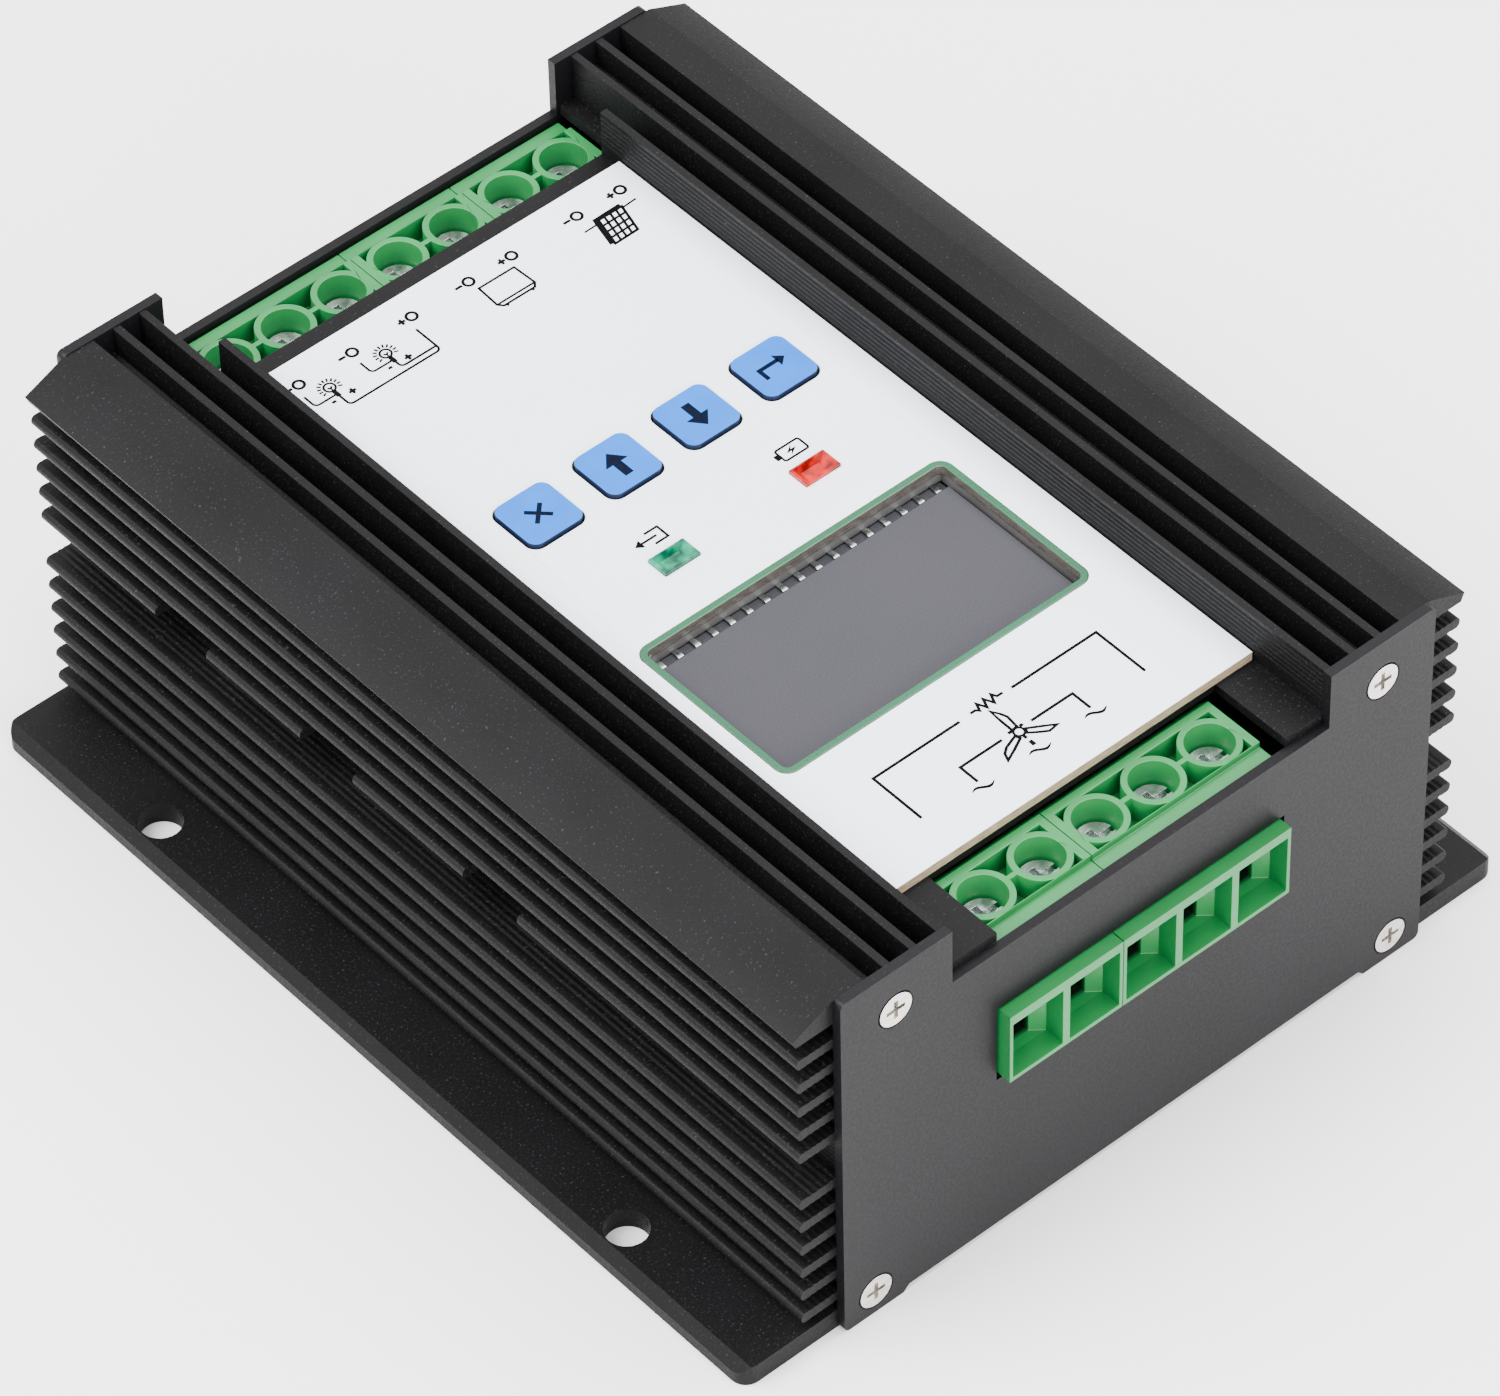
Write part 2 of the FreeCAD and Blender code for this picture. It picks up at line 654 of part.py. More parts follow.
def terminal_block(label, first, count, direction):
    """A moulded housing with a nose, wire funnels, cage cavities and screwdriver collars."""
    row, pitch = cell("terminal_row"), cell("terminal_pitch")
    low_x = pitch * (first - 0.5) + cell("block_gap")
    high_x = pitch * (first + count - 0.5) - cell("block_gap")
    step_top = cell("block_top") - cell("block_step_drop")
    body = doc.addObject("PartDesign::Body", label + "_mould")
    profile = sketch_on(body, label + "_profile", "YZ_Plane", (low_x + high_x) / 2)
    draw_outline(
        profile,
        [
            (cell("block_back"), cell("board_top")),
            (cell("block_front"), cell("board_top")),
            (cell("block_front"), cell("nose_low")),
            (cell("nose_front"), cell("nose_low")),
            (cell("nose_front"), cell("nose_high")),
            (cell("block_front"), cell("nose_high")),
            (cell("block_front"), step_top),
            (cell("block_step"), step_top),
            (cell("block_step"), cell("block_top")),
            (cell("block_back") + cell("block_slope"), cell("block_top")),
            (cell("block_back"), cell("block_top") - cell("block_slope")),
        ],
    )
    pad(body, profile, high_x - low_x, midplane=True)
    tools = []
    for number, x in enumerate(terminal_places(first, count), start=1):
        name = "%s_way_%d" % (label, number)
        tools += way_tools(name, x, row)
    pockets = collar_pockets(label, low_x, high_x, first, count)
    block = cut(label, body, tools + [pockets])
    keep(turned(block, direction), label)


def way_tools(name, x, row):
    """Everything that is hollow in one way of a terminal block."""
    shoulder_under = cell("shoulder_top") - cell("shoulder_thick")
    cavity_x = around(x, cell("cage_half_x") + cell("cage_play"))
    cavity_y = around(row, cell("cage_half_y") + cell("cage_play"))
    cavity = (cell("cage_low") - cell("cage_play"), shoulder_under)
    over_top = cell("block_top") + 1
    funnel_back = cell("nose_front") - cell("entry_straight")
    throat_back = funnel_back - cell("entry_taper")
    funnel = doc.addObject("Part::Wedge", name + "_funnel")
    bind(funnel, "Xmin", x - cell("throat_half"))
    bind(funnel, "Xmax", x + cell("throat_half"))
    bind(funnel, "Zmin", cell("throat_low"))
    bind(funnel, "Zmax", cell("throat_high"))
    bind(funnel, "Ymin", throat_back)
    bind(funnel, "Ymax", funnel_back)
    bind(funnel, "X2min", x - cell("entry_half"))
    bind(funnel, "X2max", x + cell("entry_half"))
    bind(funnel, "Z2min", cell("entry_low"))
    bind(funnel, "Z2max", cell("entry_high"))
    entry = (cell("entry_low"), cell("entry_high"))
    throat = (cell("throat_low"), cell("throat_high"))
    play = cell("slot_play")
    leg_x = around(x, cell("bar_half") + play)
    leg_y = (cell("bar_back") - play, cavity_y[0] + 0.5)
    leg_z = (cell("board_top") - 1, cell("bar_low") + cell("bar_thick") + play)
    shank_hole = cell("clamp_shank") + cell("clamp_play")
    return [
        post(name + "_bore", x, row, (cell("shoulder_top"), over_top), cell("collar_bore")),
        post(name + "_shank_hole", x, row, (shoulder_under - 1, over_top), shank_hole),
        box(name + "_cavity", cavity_x, cavity_y, cavity),
        box(name + "_leg_slot", leg_x, leg_y, leg_z),
        box(name + "_entry", around(x, cell("entry_half")), (funnel_back, cell("nose_front") + 1), entry),
        funnel,
        box(name + "_throat", around(x, cell("throat_half")), (cavity_y[1] - 0.5, throat_back), throat),
    ]


def collar_pockets(label, low_x, high_x, first, count):
    """The sunk field around the collars, less the collars and the bars that join them."""
    row = cell("terminal_row")
    floor = cell("block_top") - cell("collar_pocket")
    over_top = cell("block_top") + 1
    field_x = (low_x + cell("collar_end"), high_x - cell("collar_end"))
    field = box(label + "_field", field_x, around(row, cell("pocket_half")), (floor, over_top))
    standing = []
    for number, x in enumerate(terminal_places(first, count), start=1):
        name = "%s_collar_%d" % (label, number)
        span = (floor - 1, over_top + 1)
        standing.append(post(name, x, row, span, cell("collar_outer")))
    bars = around(row, cell("collar_bar") / 2)
    standing.append(box(label + "_bars", (low_x - 1, high_x + 1), bars, (floor - 1, over_top + 1)))
    return cut(label + "_pockets", field, standing)


def clamp_screw(label, place_x, direction):
    """A pan head screw with a combined slot and cross, its shank turning in the cage's thread."""
    row = cell("terminal_row")
    seat = cell("shoulder_top") + cell("clamp_seat_gap")
    top = seat + cell("clamp_head_height")
    head = post(label + "_head", place_x, row, (seat, top), cell("clamp_head"))
    reach = (seat - cell("clamp_reach"), seat)
    shank = post(label + "_shank", place_x, row, reach, cell("clamp_shank"))
    blank = fuse(label + "_blank", [head, shank])
    slot_x = around(place_x, cell("clamp_head") + 0.2)
    slot_y = around(row, cell("clamp_slot_width") / 2)
    slot = box(label + "_slot", slot_x, slot_y, (top - cell("clamp_slot_depth"), top + 1))
    cross = cross_recess(label, place_x, row, top, "clamp_cross")
    keep(turned(cut(label, blank, [slot] + cross), direction), label)


def clamp_cage(label, place_x, direction):
    """A square metal frame that the screw lifts. The wire lies in its window."""
    row = cell("terminal_row")
    roof = cell("cage_low") + cell("cage_floor") + cell("cage_window")
    top = roof + cell("cage_roof")
    outer_x = around(place_x, cell("cage_half_x"))
    outer_y = around(row, cell("cage_half_y"))
    outer = box(label + "_outer", outer_x, outer_y, (cell("cage_low"), top))
    window_x = around(place_x, cell("cage_half_x") - cell("cage_wall"))
    window_y = around(row, cell("cage_half_y") + 1)
    window = box(label + "_window", window_x, window_y, (cell("cage_low") + cell("cage_floor"), roof))
    thread = cell("clamp_shank") + cell("clamp_play")
    tapped = post(label + "_thread", place_x, row, (roof - 1, top + 1), thread)
    keep(turned(cut(label, outer, [window, tapped]), direction), label)


def current_bar(name, x, direction):
    """A bent copper bar: its tongue lies in the cage's window and its leg goes to the board."""
    low, thick, back = cell("bar_low"), cell("bar_thick"), cell("bar_back")
    tongue_y = (back, cell("terminal_row") + cell("cage_half_y"))
    tongue = box(name + "_tongue", around(x, cell("bar_half")), tongue_y, (low, low + thick))
    leg_z = (cell("board_top") + 0.05, low + thick)
    leg = box(name + "_leg", around(x, cell("bar_half")), (back, back + thick), leg_z)
    pin_z = (cell("board_top") - cell("pin_length"), cell("board_top") + 1)
    pin = box(name + "_pin", around(x, cell("pin_half")), (back, back + thick), pin_z)
    return turned(fuse(name, [tongue, leg, pin]), direction)


def terminals():
    """Five ways at the wind end, seven at the power end."""
    terminal_block("terminal_block_wind_3way", -2, 3, 1)
    terminal_block("terminal_block_wind_2way", 1, 2, 1)
    terminal_block("terminal_block_solar_2way", 2, 2, -1)
    terminal_block("terminal_block_battery_2way", 0, 2, -1)
    terminal_block("terminal_block_load_3way", -3, 3, -1)
    for row_name, count, direction in (("wind", 5, 1), ("power", 7, -1)):
        bars = []
        for number in range(1, count + 1):
            step = (number - (count + 1) / 2) * direction
            x = cell("terminal_pitch") * step
            clamp_screw("clamp_screw_%s_%d" % (row_name, number), x, direction)
            clamp_cage("clamp_cage_%s_%d" % (row_name, number), x, direction)
            bars.append(current_bar("current_bar_%s_%d" % (row_name, number), x, direction))
        keep(group("current_bars_" + row_name, bars), "current_bars_" + row_name)


def main_board():
    """The main board, with holes for the terminal pins and the transistor legs."""
    span = (board_under, cell("board_top"))
    through = (board_under - 1, cell("board_top") + 1)
    blank = box("main_board_blank", both_ways(cell("board_half")), both_ways(cell("board_end")), span)
    holes = []
    back = cell("bar_back")
    for count, direction in ((5, 1), (7, -1)):
        for number in range(count):
            x = cell("terminal_pitch") * (number - (count - 1) / 2)
            low = (back - cell("slot_play")) * direction
            high = (back + cell("bar_thick") + cell("slot_play")) * direction
            y = (low, high) if direction > 0 else (high, low)
            name = "pin_hole_%d_of_%d" % (number + 1, count)
            holes.append(box(name, around(x, cell("pin_half") + cell("slot_play")), y, through))
    for side in (-1, 1):
        for row_number, row in enumerate(device_rows()):
            for leg in (-1, 0, 1):
                x = (wall_inner - cell("leg_offset")) * side
                y = row + cell("leg_pitch") * leg
                name = "leg_hole_%d_%d_%d" % (side + 1, row_number, leg + 1)
                holes.append(post(name, x, y, through, cell("leg_hole")))
    keep(cut("main_board", blank, holes), "main_board")


def power_parts():
    """Capacitors, inductor, transistors and their screws, all on the main board."""
    top = cell("board_top")
    cans = []
    for number, (x, y) in enumerate(((-28, 40), (-28, 20), (30, 34), (30, 14)), start=1):
        span = (top, top + cell("can_height"))
        cans.append(post("capacitor_%d" % number, as_size(x), as_size(y), span, cell("can_radius")))
    keep(group("capacitors", cans), "capacitors")
    inductor()
    transistors, screws = [], []
    for side in (-1, 1):
        for number, row in enumerate(device_rows(), start=1):
            name = "device_%s_%d" % ("left" if side < 0 else "right", number)
            transistors.append(transistor(name, row, side))
            screws.append(tab_screw(name + "_screw", row, side))
    keep(group("power_transistors", transistors), "power_transistors")
    keep(group("transistor_screws", screws), "transistor_screws")


def inductor():
    """A ring core lying flat, with a single layer of thick wire around it."""
    wire, y = cell("wire_thick"), cell("inductor_y")
    low = cell("board_top") + wire + cell("core_lift")
    span = (low, low + cell("core_height"))
    past = (span[0] - 1, span[1] + 1)
    ring = post("core_ring", as_size(0), y, span, cell("core_outer"))
    hole = post("core_hole", as_size(0), y, past, cell("core_inner"))
    keep(cut("inductor_core", ring, [hole]), "inductor_core")
    turns = []
    count = int(cell("wire_turns").value)
    play = cell("wire_play")
    inner_x = (cell("core_inner") - play, cell("core_outer") + play)
    inner_z = (span[0] - play, span[1] + play)
    for number in range(count):
        name = "wire_turn_%d" % (number + 1)
        outer_x = (inner_x[0] - wire, inner_x[1] + wire)
        outer_z = (inner_z[0] - wire, inner_z[1] + wire)
        outer = box(name + "_outer", outer_x, both_ways(wire / 2), outer_z)
        inner = box(name + "_inner", inner_x, both_ways(wire), inner_z)
        turn = cut(name, outer, [inner])
        angle = 360.0 * number / count
        turn.Placement.Rotation = FreeCAD.Rotation(FreeCAD.Vector(0, 0, 1), angle)
        place(turn, 0, y, 0)
        turns.append(turn)
    keep(group("inductor_winding", turns), "inductor_winding")


def spread(side, near, far):
    """A span along X between two distances from the middle, on one side."""
    return (near, far) if side > 0 else (-far, -near)


def transistor(name, row, side):
    """A three leg device: moulded case, metal tab against the wall, legs into the board."""
    face = wall_inner - cell("device_thick")
    case_x = spread(side, face, wall_inner)
    across = around(row, cell("device_half"))
    case = box(name + "_case", case_x, across, (cell("device_low"), cell("device_high")))
    tab_x = spread(side, wall_inner - cell("tab_thick"), wall_inner)
    tab = box(name + "_tab", tab_x, across, (cell("device_high") - 1, cell("tab_high")))
    pieces = [case, tab]
    for leg in (-1, 0, 1):
        x = (wall_inner - cell("leg_offset")) * side
        y = row + cell("leg_pitch") * leg
        leg_z = (cell("board_top") - cell("pin_length"), cell("device_low") + 1)
        leg_name = "%s_leg_%d" % (name, leg + 2)
        leg_x, leg_y = around(x, cell("leg_half_x")), around(y, cell("leg_half_y"))
        pieces.append(box(leg_name, leg_x, leg_y, leg_z))
    whole = fuse(name + "_whole", pieces)
    hole = doc.addObject("Part::Cylinder", name + "_hole")
    bind(hole, "Radius", cell("tab_hole"))
    bind(hole, "Height", cell("device_thick"))
    hole.Placement.Rotation = FreeCAD.Rotation(FreeCAD.Vector(0, 1, 0), 90 * side)
    place(hole, (wall_inner - 3) * side, row, cell("tab_screw_height"))
    return cut(name, whole, [hole])


def tab_screw(name, row, side):
    """A pan head screw that holds a transistor's tab, its head inside the housing."""
    head = doc.addObject("Part::Cylinder", name + "_head")
    bind(head, "Radius", cell("tab_head"))
    bind(head, "Height", cell("tab_head_height"))
    place(head, 0, 0, 0)
    shank = doc.addObject("Part::Cylinder", name + "_shank")
    bind(shank, "Radius", cell("screw_shank"))
    bind(shank, "Height", cell("tab_thick"))
    place(shank, 0, 0, cell("tab_head_height"))
    screw = fuse(name, [head, shank])
    screw.Placement.Rotation = FreeCAD.Rotation(FreeCAD.Vector(0, 1, 0), 90 * side)
    reach = wall_inner - cell("tab_thick") - cell("tab_head_height")
    place(screw, reach * side, row, cell("tab_screw_height"))
    return screw


def key_places():
    return [cell("key_first") + cell("key_pitch") * step for step in range(4)]


def front_panel():
    """A laminate panel with windows for the display, the lamps and the keys."""
    body = doc.addObject("PartDesign::Body", "front_panel")
    outline = sketch_on(body, "panel_outline", "XY_Plane", cell("deck_top"))
    draw_rectangle(outline, both_ways(cell("panel_half")), (cell("panel_low"), cell("panel_high")))
    pad(body, outline, cell("panel_thick"))
    windows = sketch_on(body, "panel_windows", "XY_Plane", panel_top + 1)
    play = cell("window_play")
    lcd_across = both_ways(cell("lcd_half") + play)
    draw_rectangle(windows, lcd_across, (cell("lcd_low") - play, cell("lcd_high") + play))
    for x in (cell("led_x_left"), cell("led_x_right")):
        across = around(x, cell("led_half_x") + play)
        draw_rectangle(windows, across, around(cell("led_row"), cell("led_half_y") + play))
    reach = cell("key_half") + cell("key_gap")
    for x in key_places():
        draw_rectangle(windows, around(x, reach), around(cell("key_row"), reach))
    pocket(body, windows, cell("panel_thick") + 2)

    def is_key_window(start, end):
        low, high = (cell("key_row") - reach).value, (cell("key_row") + reach).value
        return upright(start, end) and min(abs(start.y - low), abs(start.y - high)) < touching

    round_edges(body, cell("key_corner") + cell("key_gap"), is_key_window)

    def is_lcd_window(start, end):
        on_side = abs(abs(start.x) - cell("lcd_half").value - play.value) < touching
        return upright(start, end) and on_side

    round_edges(body, cell("lcd_corner") + play, is_lcd_window)
    keep(body, "front_panel")


def lcd_bezel():
    """The narrow frame that lines the display window."""
    body = doc.addObject("PartDesign::Body", "lcd_bezel")
    ring = sketch_on(body, "bezel_ring", "XY_Plane", cell("deck_top"))
    width = cell("bezel_width")
    outer = (cell("lcd_low"), cell("lcd_high"))
    inner = (cell("lcd_low") + width, cell("lcd_high") - width)
    draw_rectangle(ring, both_ways(cell("lcd_half")), outer)
    draw_rectangle(ring, both_ways(cell("lcd_half") - width), inner)
    pad(body, ring, cell("panel_thick") + cell("bezel_raise"))

    def is_outer(start, end):
        return upright(start, end) and abs(abs(start.x) - cell("lcd_half").value) < touching

    round_edges(body, cell("lcd_corner"), is_outer)

    def is_inner(start, end):
        inside = (cell("lcd_half") - width).value
        return upright(start, end) and abs(abs(start.x) - inside) < touching

    round_edges(body, cell("lcd_corner") - width, is_inner)
    keep(body, "lcd_bezel")


def display():
    """Glass, backlight, pins and the board that they stand on."""
    top, span_x = cell("display_top"), both_ways(cell("display_half"))
    inset = cell("bezel_width") + 0.2
    glass_x = both_ways(cell("lcd_half") - inset)
    glass_y = (cell("glass_low"), cell("lcd_high") - inset)
    glass_low = cell("glass_top") - cell("glass_thick")
    keep(box("lcd_glass", glass_x, glass_y, (glass_low, cell("glass_top"))), "lcd_glass")
    light_x = both_ways(cell("lcd_half") - inset - 0.5)
    light_y = (cell("glass_low") + 0.5, cell("lcd_high") - inset - 0.5)
    keep(box("lcd_backlight", light_x, light_y, (top, glass_low)), "lcd_backlight")
    pins = []
    count = int(cell("lcd_pins").value)
    for number in range(count):
        x = cell("lcd_pin_pitch") * (number - (count - 1) / 2)
        row = cell("lcd_pin_row")
        name = "lcd_pin_%d" % (number + 1)
        across, deep = around(x, cell("lcd_pin_half_x")), around(row, cell("lcd_pin_half_y"))
        pins.append(box(name, across, deep, (top, cell("glass_top") + cell("lcd_pin_rise"))))
    keep(group("lcd_pins", pins), "lcd_pins")
    board_y = (cell("display_low"), cell("display_high"))
    board = box("display_board", span_x, board_y, (top - cell("board_thick"), top))
    keep(board, "display_board")
    spacers = []
    for side in (-1, 1):
        for y in (cell("display_low") + 3, cell("display_high") - 3):
            name = "spacer_%d" % (len(spacers) + 1)
            x = cell("spacer_x") * side
            spacers.append(post(name, x, y, (top, deck_under), cell("spacer_radius")))
    keep(group("display_spacers", spacers), "display_spacers")
    connector_z = (cell("board_top"), top - cell("board_thick"))
    connector_y = around(cell("display_low") + 3, 1.27)
    connector = box("board_connector", both_ways(cell("header_half")), connector_y, connector_z)
    keep(connector, "board_connector")


def lamp(label, x):
    """A rectangular lamp with bevelled top edges, standing on the display board."""
    body = doc.addObject("PartDesign::Body", label)
    outline = sketch_on(body, label + "_outline", "XY_Plane", cell("display_top"))
    row = cell("led_row")
    draw_rectangle(outline, around(x, cell("led_half_x")), around(row, cell("led_half_y")))
    height = panel_top + cell("led_raise") - cell("display_top")
    pad(body, outline, height)
    doc.recompute()
    block = body.Tip
    top = (panel_top + cell("led_raise")).value
    rims = []
    for number, edge in enumerate(block.Shape.Edges, start=1):
        if min(vertex.Point.z for vertex in edge.Vertexes) > top - touching:
            rims.append("Edge%d" % number)
    bevel = body.newObject("PartDesign::Chamfer", label + "_bevel")
    bevel.Base = (block, rims)
    bind(bevel, "Size", cell("led_bevel"))
    keep(body, label)


def key_cap(label, x):
    """A square key with a retaining flange that stays under the panel."""
    body = doc.addObject("PartDesign::Body", label)
    flange_top = cell("deck_top") - cell("key_drop")
    flange_low = flange_top - cell("key_flange")
    row = cell("key_row")
    reach = cell("key_half") + cell("key_flange")
    flange = sketch_on(body, label + "_flange", "XY_Plane", flange_low)
    draw_rectangle(flange, around(x, reach), around(row, reach))
    pad(body, flange, cell("key_flange"))
    top = sketch_on(body, label + "_top", "XY_Plane", flange_low)
    draw_rectangle(top, around(x, cell("key_half")), around(row, cell("key_half")))
    pad(body, top, panel_top + cell("key_raise") - flange_low)

    def is_cap_corner(start, end):
        edge_x = abs(abs(start.x - x.value) - cell("key_half").value) < touching
        edge_y = abs(abs(start.y - row.value) - cell("key_half").value) < touching
        return upright(start, end) and edge_x and edge_y

    round_edges(body, cell("key_corner"), is_cap_corner)
    keep(body, label)


def keys():
    """Four keys, each over a tact switch whose stem moves with it."""
    cases = []
    under_key = cell("deck_top") - cell("key_drop") - cell("key_flange")
    row = cell("key_row")
    for name, x in zip(("enter", "up", "down", "escape"), key_places()):
        key_cap("key_" + name, x)
        stem_z = (under_key - cell("stem_length"), under_key)
        stem = post("switch_stem_" + name, x, row, stem_z, cell("stem_radius"))
        keep(stem, "switch_stem_" + name)
        half = cell("switch_half")
        case_z = (cell("display_top"), cell("switch_top"))
        case = box("switch_case_" + name, around(x, half), around(row, half), case_z)
        well_z = (under_key - cell("stem_length") - 0.6, cell("switch_top") + 1)
        well_radius = cell("stem_radius") + cell("stem_play")
        well = post("switch_well_" + name, x, row, well_z, well_radius)
        cases.append(cut("tact_switch_" + name, case, [well]))
    keep(group("tact_switches", cases), "tact_switches")


heatsink_housing()
end_plate("end_plate_wind", cell("plate_notch_wind"), cell("plate_window_wind"), 1)
end_plate("end_plate_power", cell("plate_notch_power"), cell("notch_power_half"), -1)
end_plate_screws()
main_board()
power_parts()
terminals()
front_panel()
lcd_bezel()
display()
lamp("lamp_charge", cell("led_x_left"))
lamp("lamp_output", cell("led_x_right"))
keys()

doc.recompute()
for item in doc.Objects:
    failed = [word for word in item.State if word in ("Invalid", "Error")]
    if failed:
        raise RuntimeError("%s is %s" % (item.Name, failed[0]))
for node in nodes:
    if node.Shape.isNull() or not node.Shape.isValid():
        raise RuntimeError("%s has no valid shape" % node.Label)

os.makedirs("parts", exist_ok=True)
for node in nodes:
    node.Shape.exportStep("parts/%s.step" % node.Label)
    solids, volume = len(node.Shape.Solids), node.Shape.Volume
    print("%-30s %2d solids %10.1f mm3" % (node.Label, solids, volume))
print("%d nodes" % len(nodes))
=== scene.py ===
import math

import bmesh
import bpy
from mathutils import Matrix, Vector


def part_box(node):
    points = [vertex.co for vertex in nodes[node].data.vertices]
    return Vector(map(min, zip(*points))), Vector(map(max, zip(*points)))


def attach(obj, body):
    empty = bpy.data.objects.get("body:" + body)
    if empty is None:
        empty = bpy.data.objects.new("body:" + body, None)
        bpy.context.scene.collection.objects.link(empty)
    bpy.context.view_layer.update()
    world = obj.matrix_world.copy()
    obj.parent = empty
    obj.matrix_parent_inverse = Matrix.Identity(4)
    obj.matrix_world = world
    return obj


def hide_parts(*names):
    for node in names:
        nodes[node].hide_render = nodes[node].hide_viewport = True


# The looks of the charge controller. Lengths are in metres unless a name ends in _mm.
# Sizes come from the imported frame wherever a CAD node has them.

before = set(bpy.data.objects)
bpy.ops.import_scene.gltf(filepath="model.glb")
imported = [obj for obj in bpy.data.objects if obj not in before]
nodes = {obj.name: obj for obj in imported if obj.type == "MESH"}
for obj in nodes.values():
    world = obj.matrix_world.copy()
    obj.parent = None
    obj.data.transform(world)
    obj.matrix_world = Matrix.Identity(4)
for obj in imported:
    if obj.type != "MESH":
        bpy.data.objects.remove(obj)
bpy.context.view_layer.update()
MM = 0.001

housing_low, housing_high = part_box("heatsink_housing")
panel_low, panel_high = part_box("front_panel")
glass_low, glass_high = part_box("lcd_glass")
bezel_low, bezel_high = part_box("lcd_bezel")
PANEL_TOP = panel_high.z


# ---------------------------------------------------------------- materials

class Shader:
    """A principled material whose details come from object coordinates."""

    def __init__(self, name, roughness, metallic=0.0, coat=0.0):
        self.material = bpy.data.materials.new(name)
        self.material.use_nodes = True
        self.tree = self.material.node_tree
        self.principled = self.tree.nodes["Principled BSDF"]
        self.socket("Roughness").default_value = roughness
        self.socket("Metallic").default_value = metallic
        self.socket("Coat Weight").default_value = coat
        coords = self.tree.nodes.new("ShaderNodeTexCoord")
        self.place = coords.outputs["Object"]
        self.normal = coords.outputs["Normal"]

    def socket(self, name):
        return self.principled.inputs[name]

    def link(self, source, target):
        self.tree.links.new(source, target)

    def noise(self, scale, detail=2.0, stretch=(1, 1, 1)):
        mapping = self.tree.nodes.new("ShaderNodeMapping")
        mapping.inputs["Scale"].default_value = stretch
        self.link(self.place, mapping.inputs["Vector"])
        noise = self.tree.nodes.new("ShaderNodeTexNoise")
        noise.inputs["Scale"].default_value = scale
        noise.inputs["Detail"].default_value = detail
        self.link(mapping.outputs["Vector"], noise.inputs["Vector"])
        return noise.outputs["Fac"]

    def ramp(self, source, low, high, start=0.0, end=1.0):
        """source mapped from low..high to start..end, held at both ends."""
        node = self.tree.nodes.new("ShaderNodeMapRange")
        node.inputs["From Min"].default_value = low
        node.inputs["From Max"].default_value = high
        node.inputs["To Min"].default_value = start
        node.inputs["To Max"].default_value = end
        self.link(source, node.inputs["Value"])
        return node.outputs["Result"]

    def axis(self, source, letter):
        node = self.tree.nodes.new("ShaderNodeSeparateXYZ")
        self.link(source, node.inputs["Vector"])
        return node.outputs[letter]

    def mix(self, factor, first, second):
        """A colour between two colours or colour sockets."""
        node = self.tree.nodes.new("ShaderNodeMix")
        node.data_type = "RGBA"
        self.link(factor, node.inputs["Factor"])
        for value, name in ((first, "A"), (second, "B")):
            target = [s for s in node.inputs if s.name == name and s.type == "RGBA"][0]
            if isinstance(value, tuple):
                target.default_value = (*value, 1.0)
            else:
                self.link(value, target)
        return [s for s in node.outputs if s.type == "RGBA"][0]

    def colour(self, source):
        self.link(source, self.socket("Base Color"))

    def bump(self, height, strength, distance):
        node = self.tree.nodes.new("ShaderNodeBump")
        node.inputs["Strength"].default_value = strength
        node.inputs["Distance"].default_value = distance
        self.link(height, node.inputs["Height"])
        previous = self.socket("Normal").links
        if previous:
            self.link(previous[0].from_socket, node.inputs["Normal"])
        self.link(node.outputs["Normal"], self.socket("Normal"))


def anodised_black():
    """Sand-blasted, black anodised aluminium: a fine grain with painted glints, pale specks standing in for
    light caught by the grain.
    """
    shader = Shader("anodised_black", roughness=0.5)
    shader.socket("Specular IOR Level").default_value = 0.1
    grain = shader.noise(2600, 3)
    cloud = shader.noise(60, 4)
    body = shader.mix(shader.ramp(cloud, 0.3, 0.7), (0.0030, 0.0029, 0.0032), (0.0045, 0.0043, 0.0048))
    # Painted glints: grain specks far paler than the black, standing in for light caught by the grain.
    painted_glints = shader.ramp(grain, 0.62, 0.80)
    shader.colour(shader.mix(painted_glints, body, (0.035, 0.034, 0.037)))
    shader.link(shader.ramp(grain, 0.3, 0.7, 0.40, 0.62), shader.socket("Roughness"))
    shader.bump(grain, 0.35, 0.00010)
    return shader.material


def plate_black():
    """Powder coated steel plate, smoother and a little greyer than the extrusion."""
    shader = Shader("plate_black", roughness=0.45)
    shader.socket("Specular IOR Level").default_value = 0.12
    grain = shader.noise(1900, 3)
    cloud = shader.noise(35, 5)
    base = shader.mix(shader.ramp(cloud, 0.3, 0.7), (0.0036, 0.0030, 0.0038), (0.0050, 0.0043, 0.0053))
    shader.colour(shader.mix(shader.ramp(grain, 0.6, 0.8), base, (0.013, 0.012, 0.0135)))
    shader.link(shader.ramp(grain, 0.3, 0.7, 0.36, 0.52), shader.socket("Roughness"))
    shader.bump(grain, 0.22, 0.00008)
    return shader.material


def moulded(name, dark, light, roughness=0.38, coat=0.08):
    """Injection moulded plastic with faint flow marks and a fine eroded texture."""
    shader = Shader(name, roughness=roughness, coat=coat)
    flow = shader.noise(90, 4, stretch=(1, 1, 0.3))
    texture = shader.noise(3000, 2)
    shader.colour(shader.mix(shader.ramp(flow, 0.35, 0.65), dark, light))
    low, high = roughness - 0.06, roughness + 0.08
    shader.link(shader.ramp(texture, 0.3, 0.7, low, high), shader.socket("Roughness"))
    shader.bump(texture, 0.12, 0.00005)
    return shader


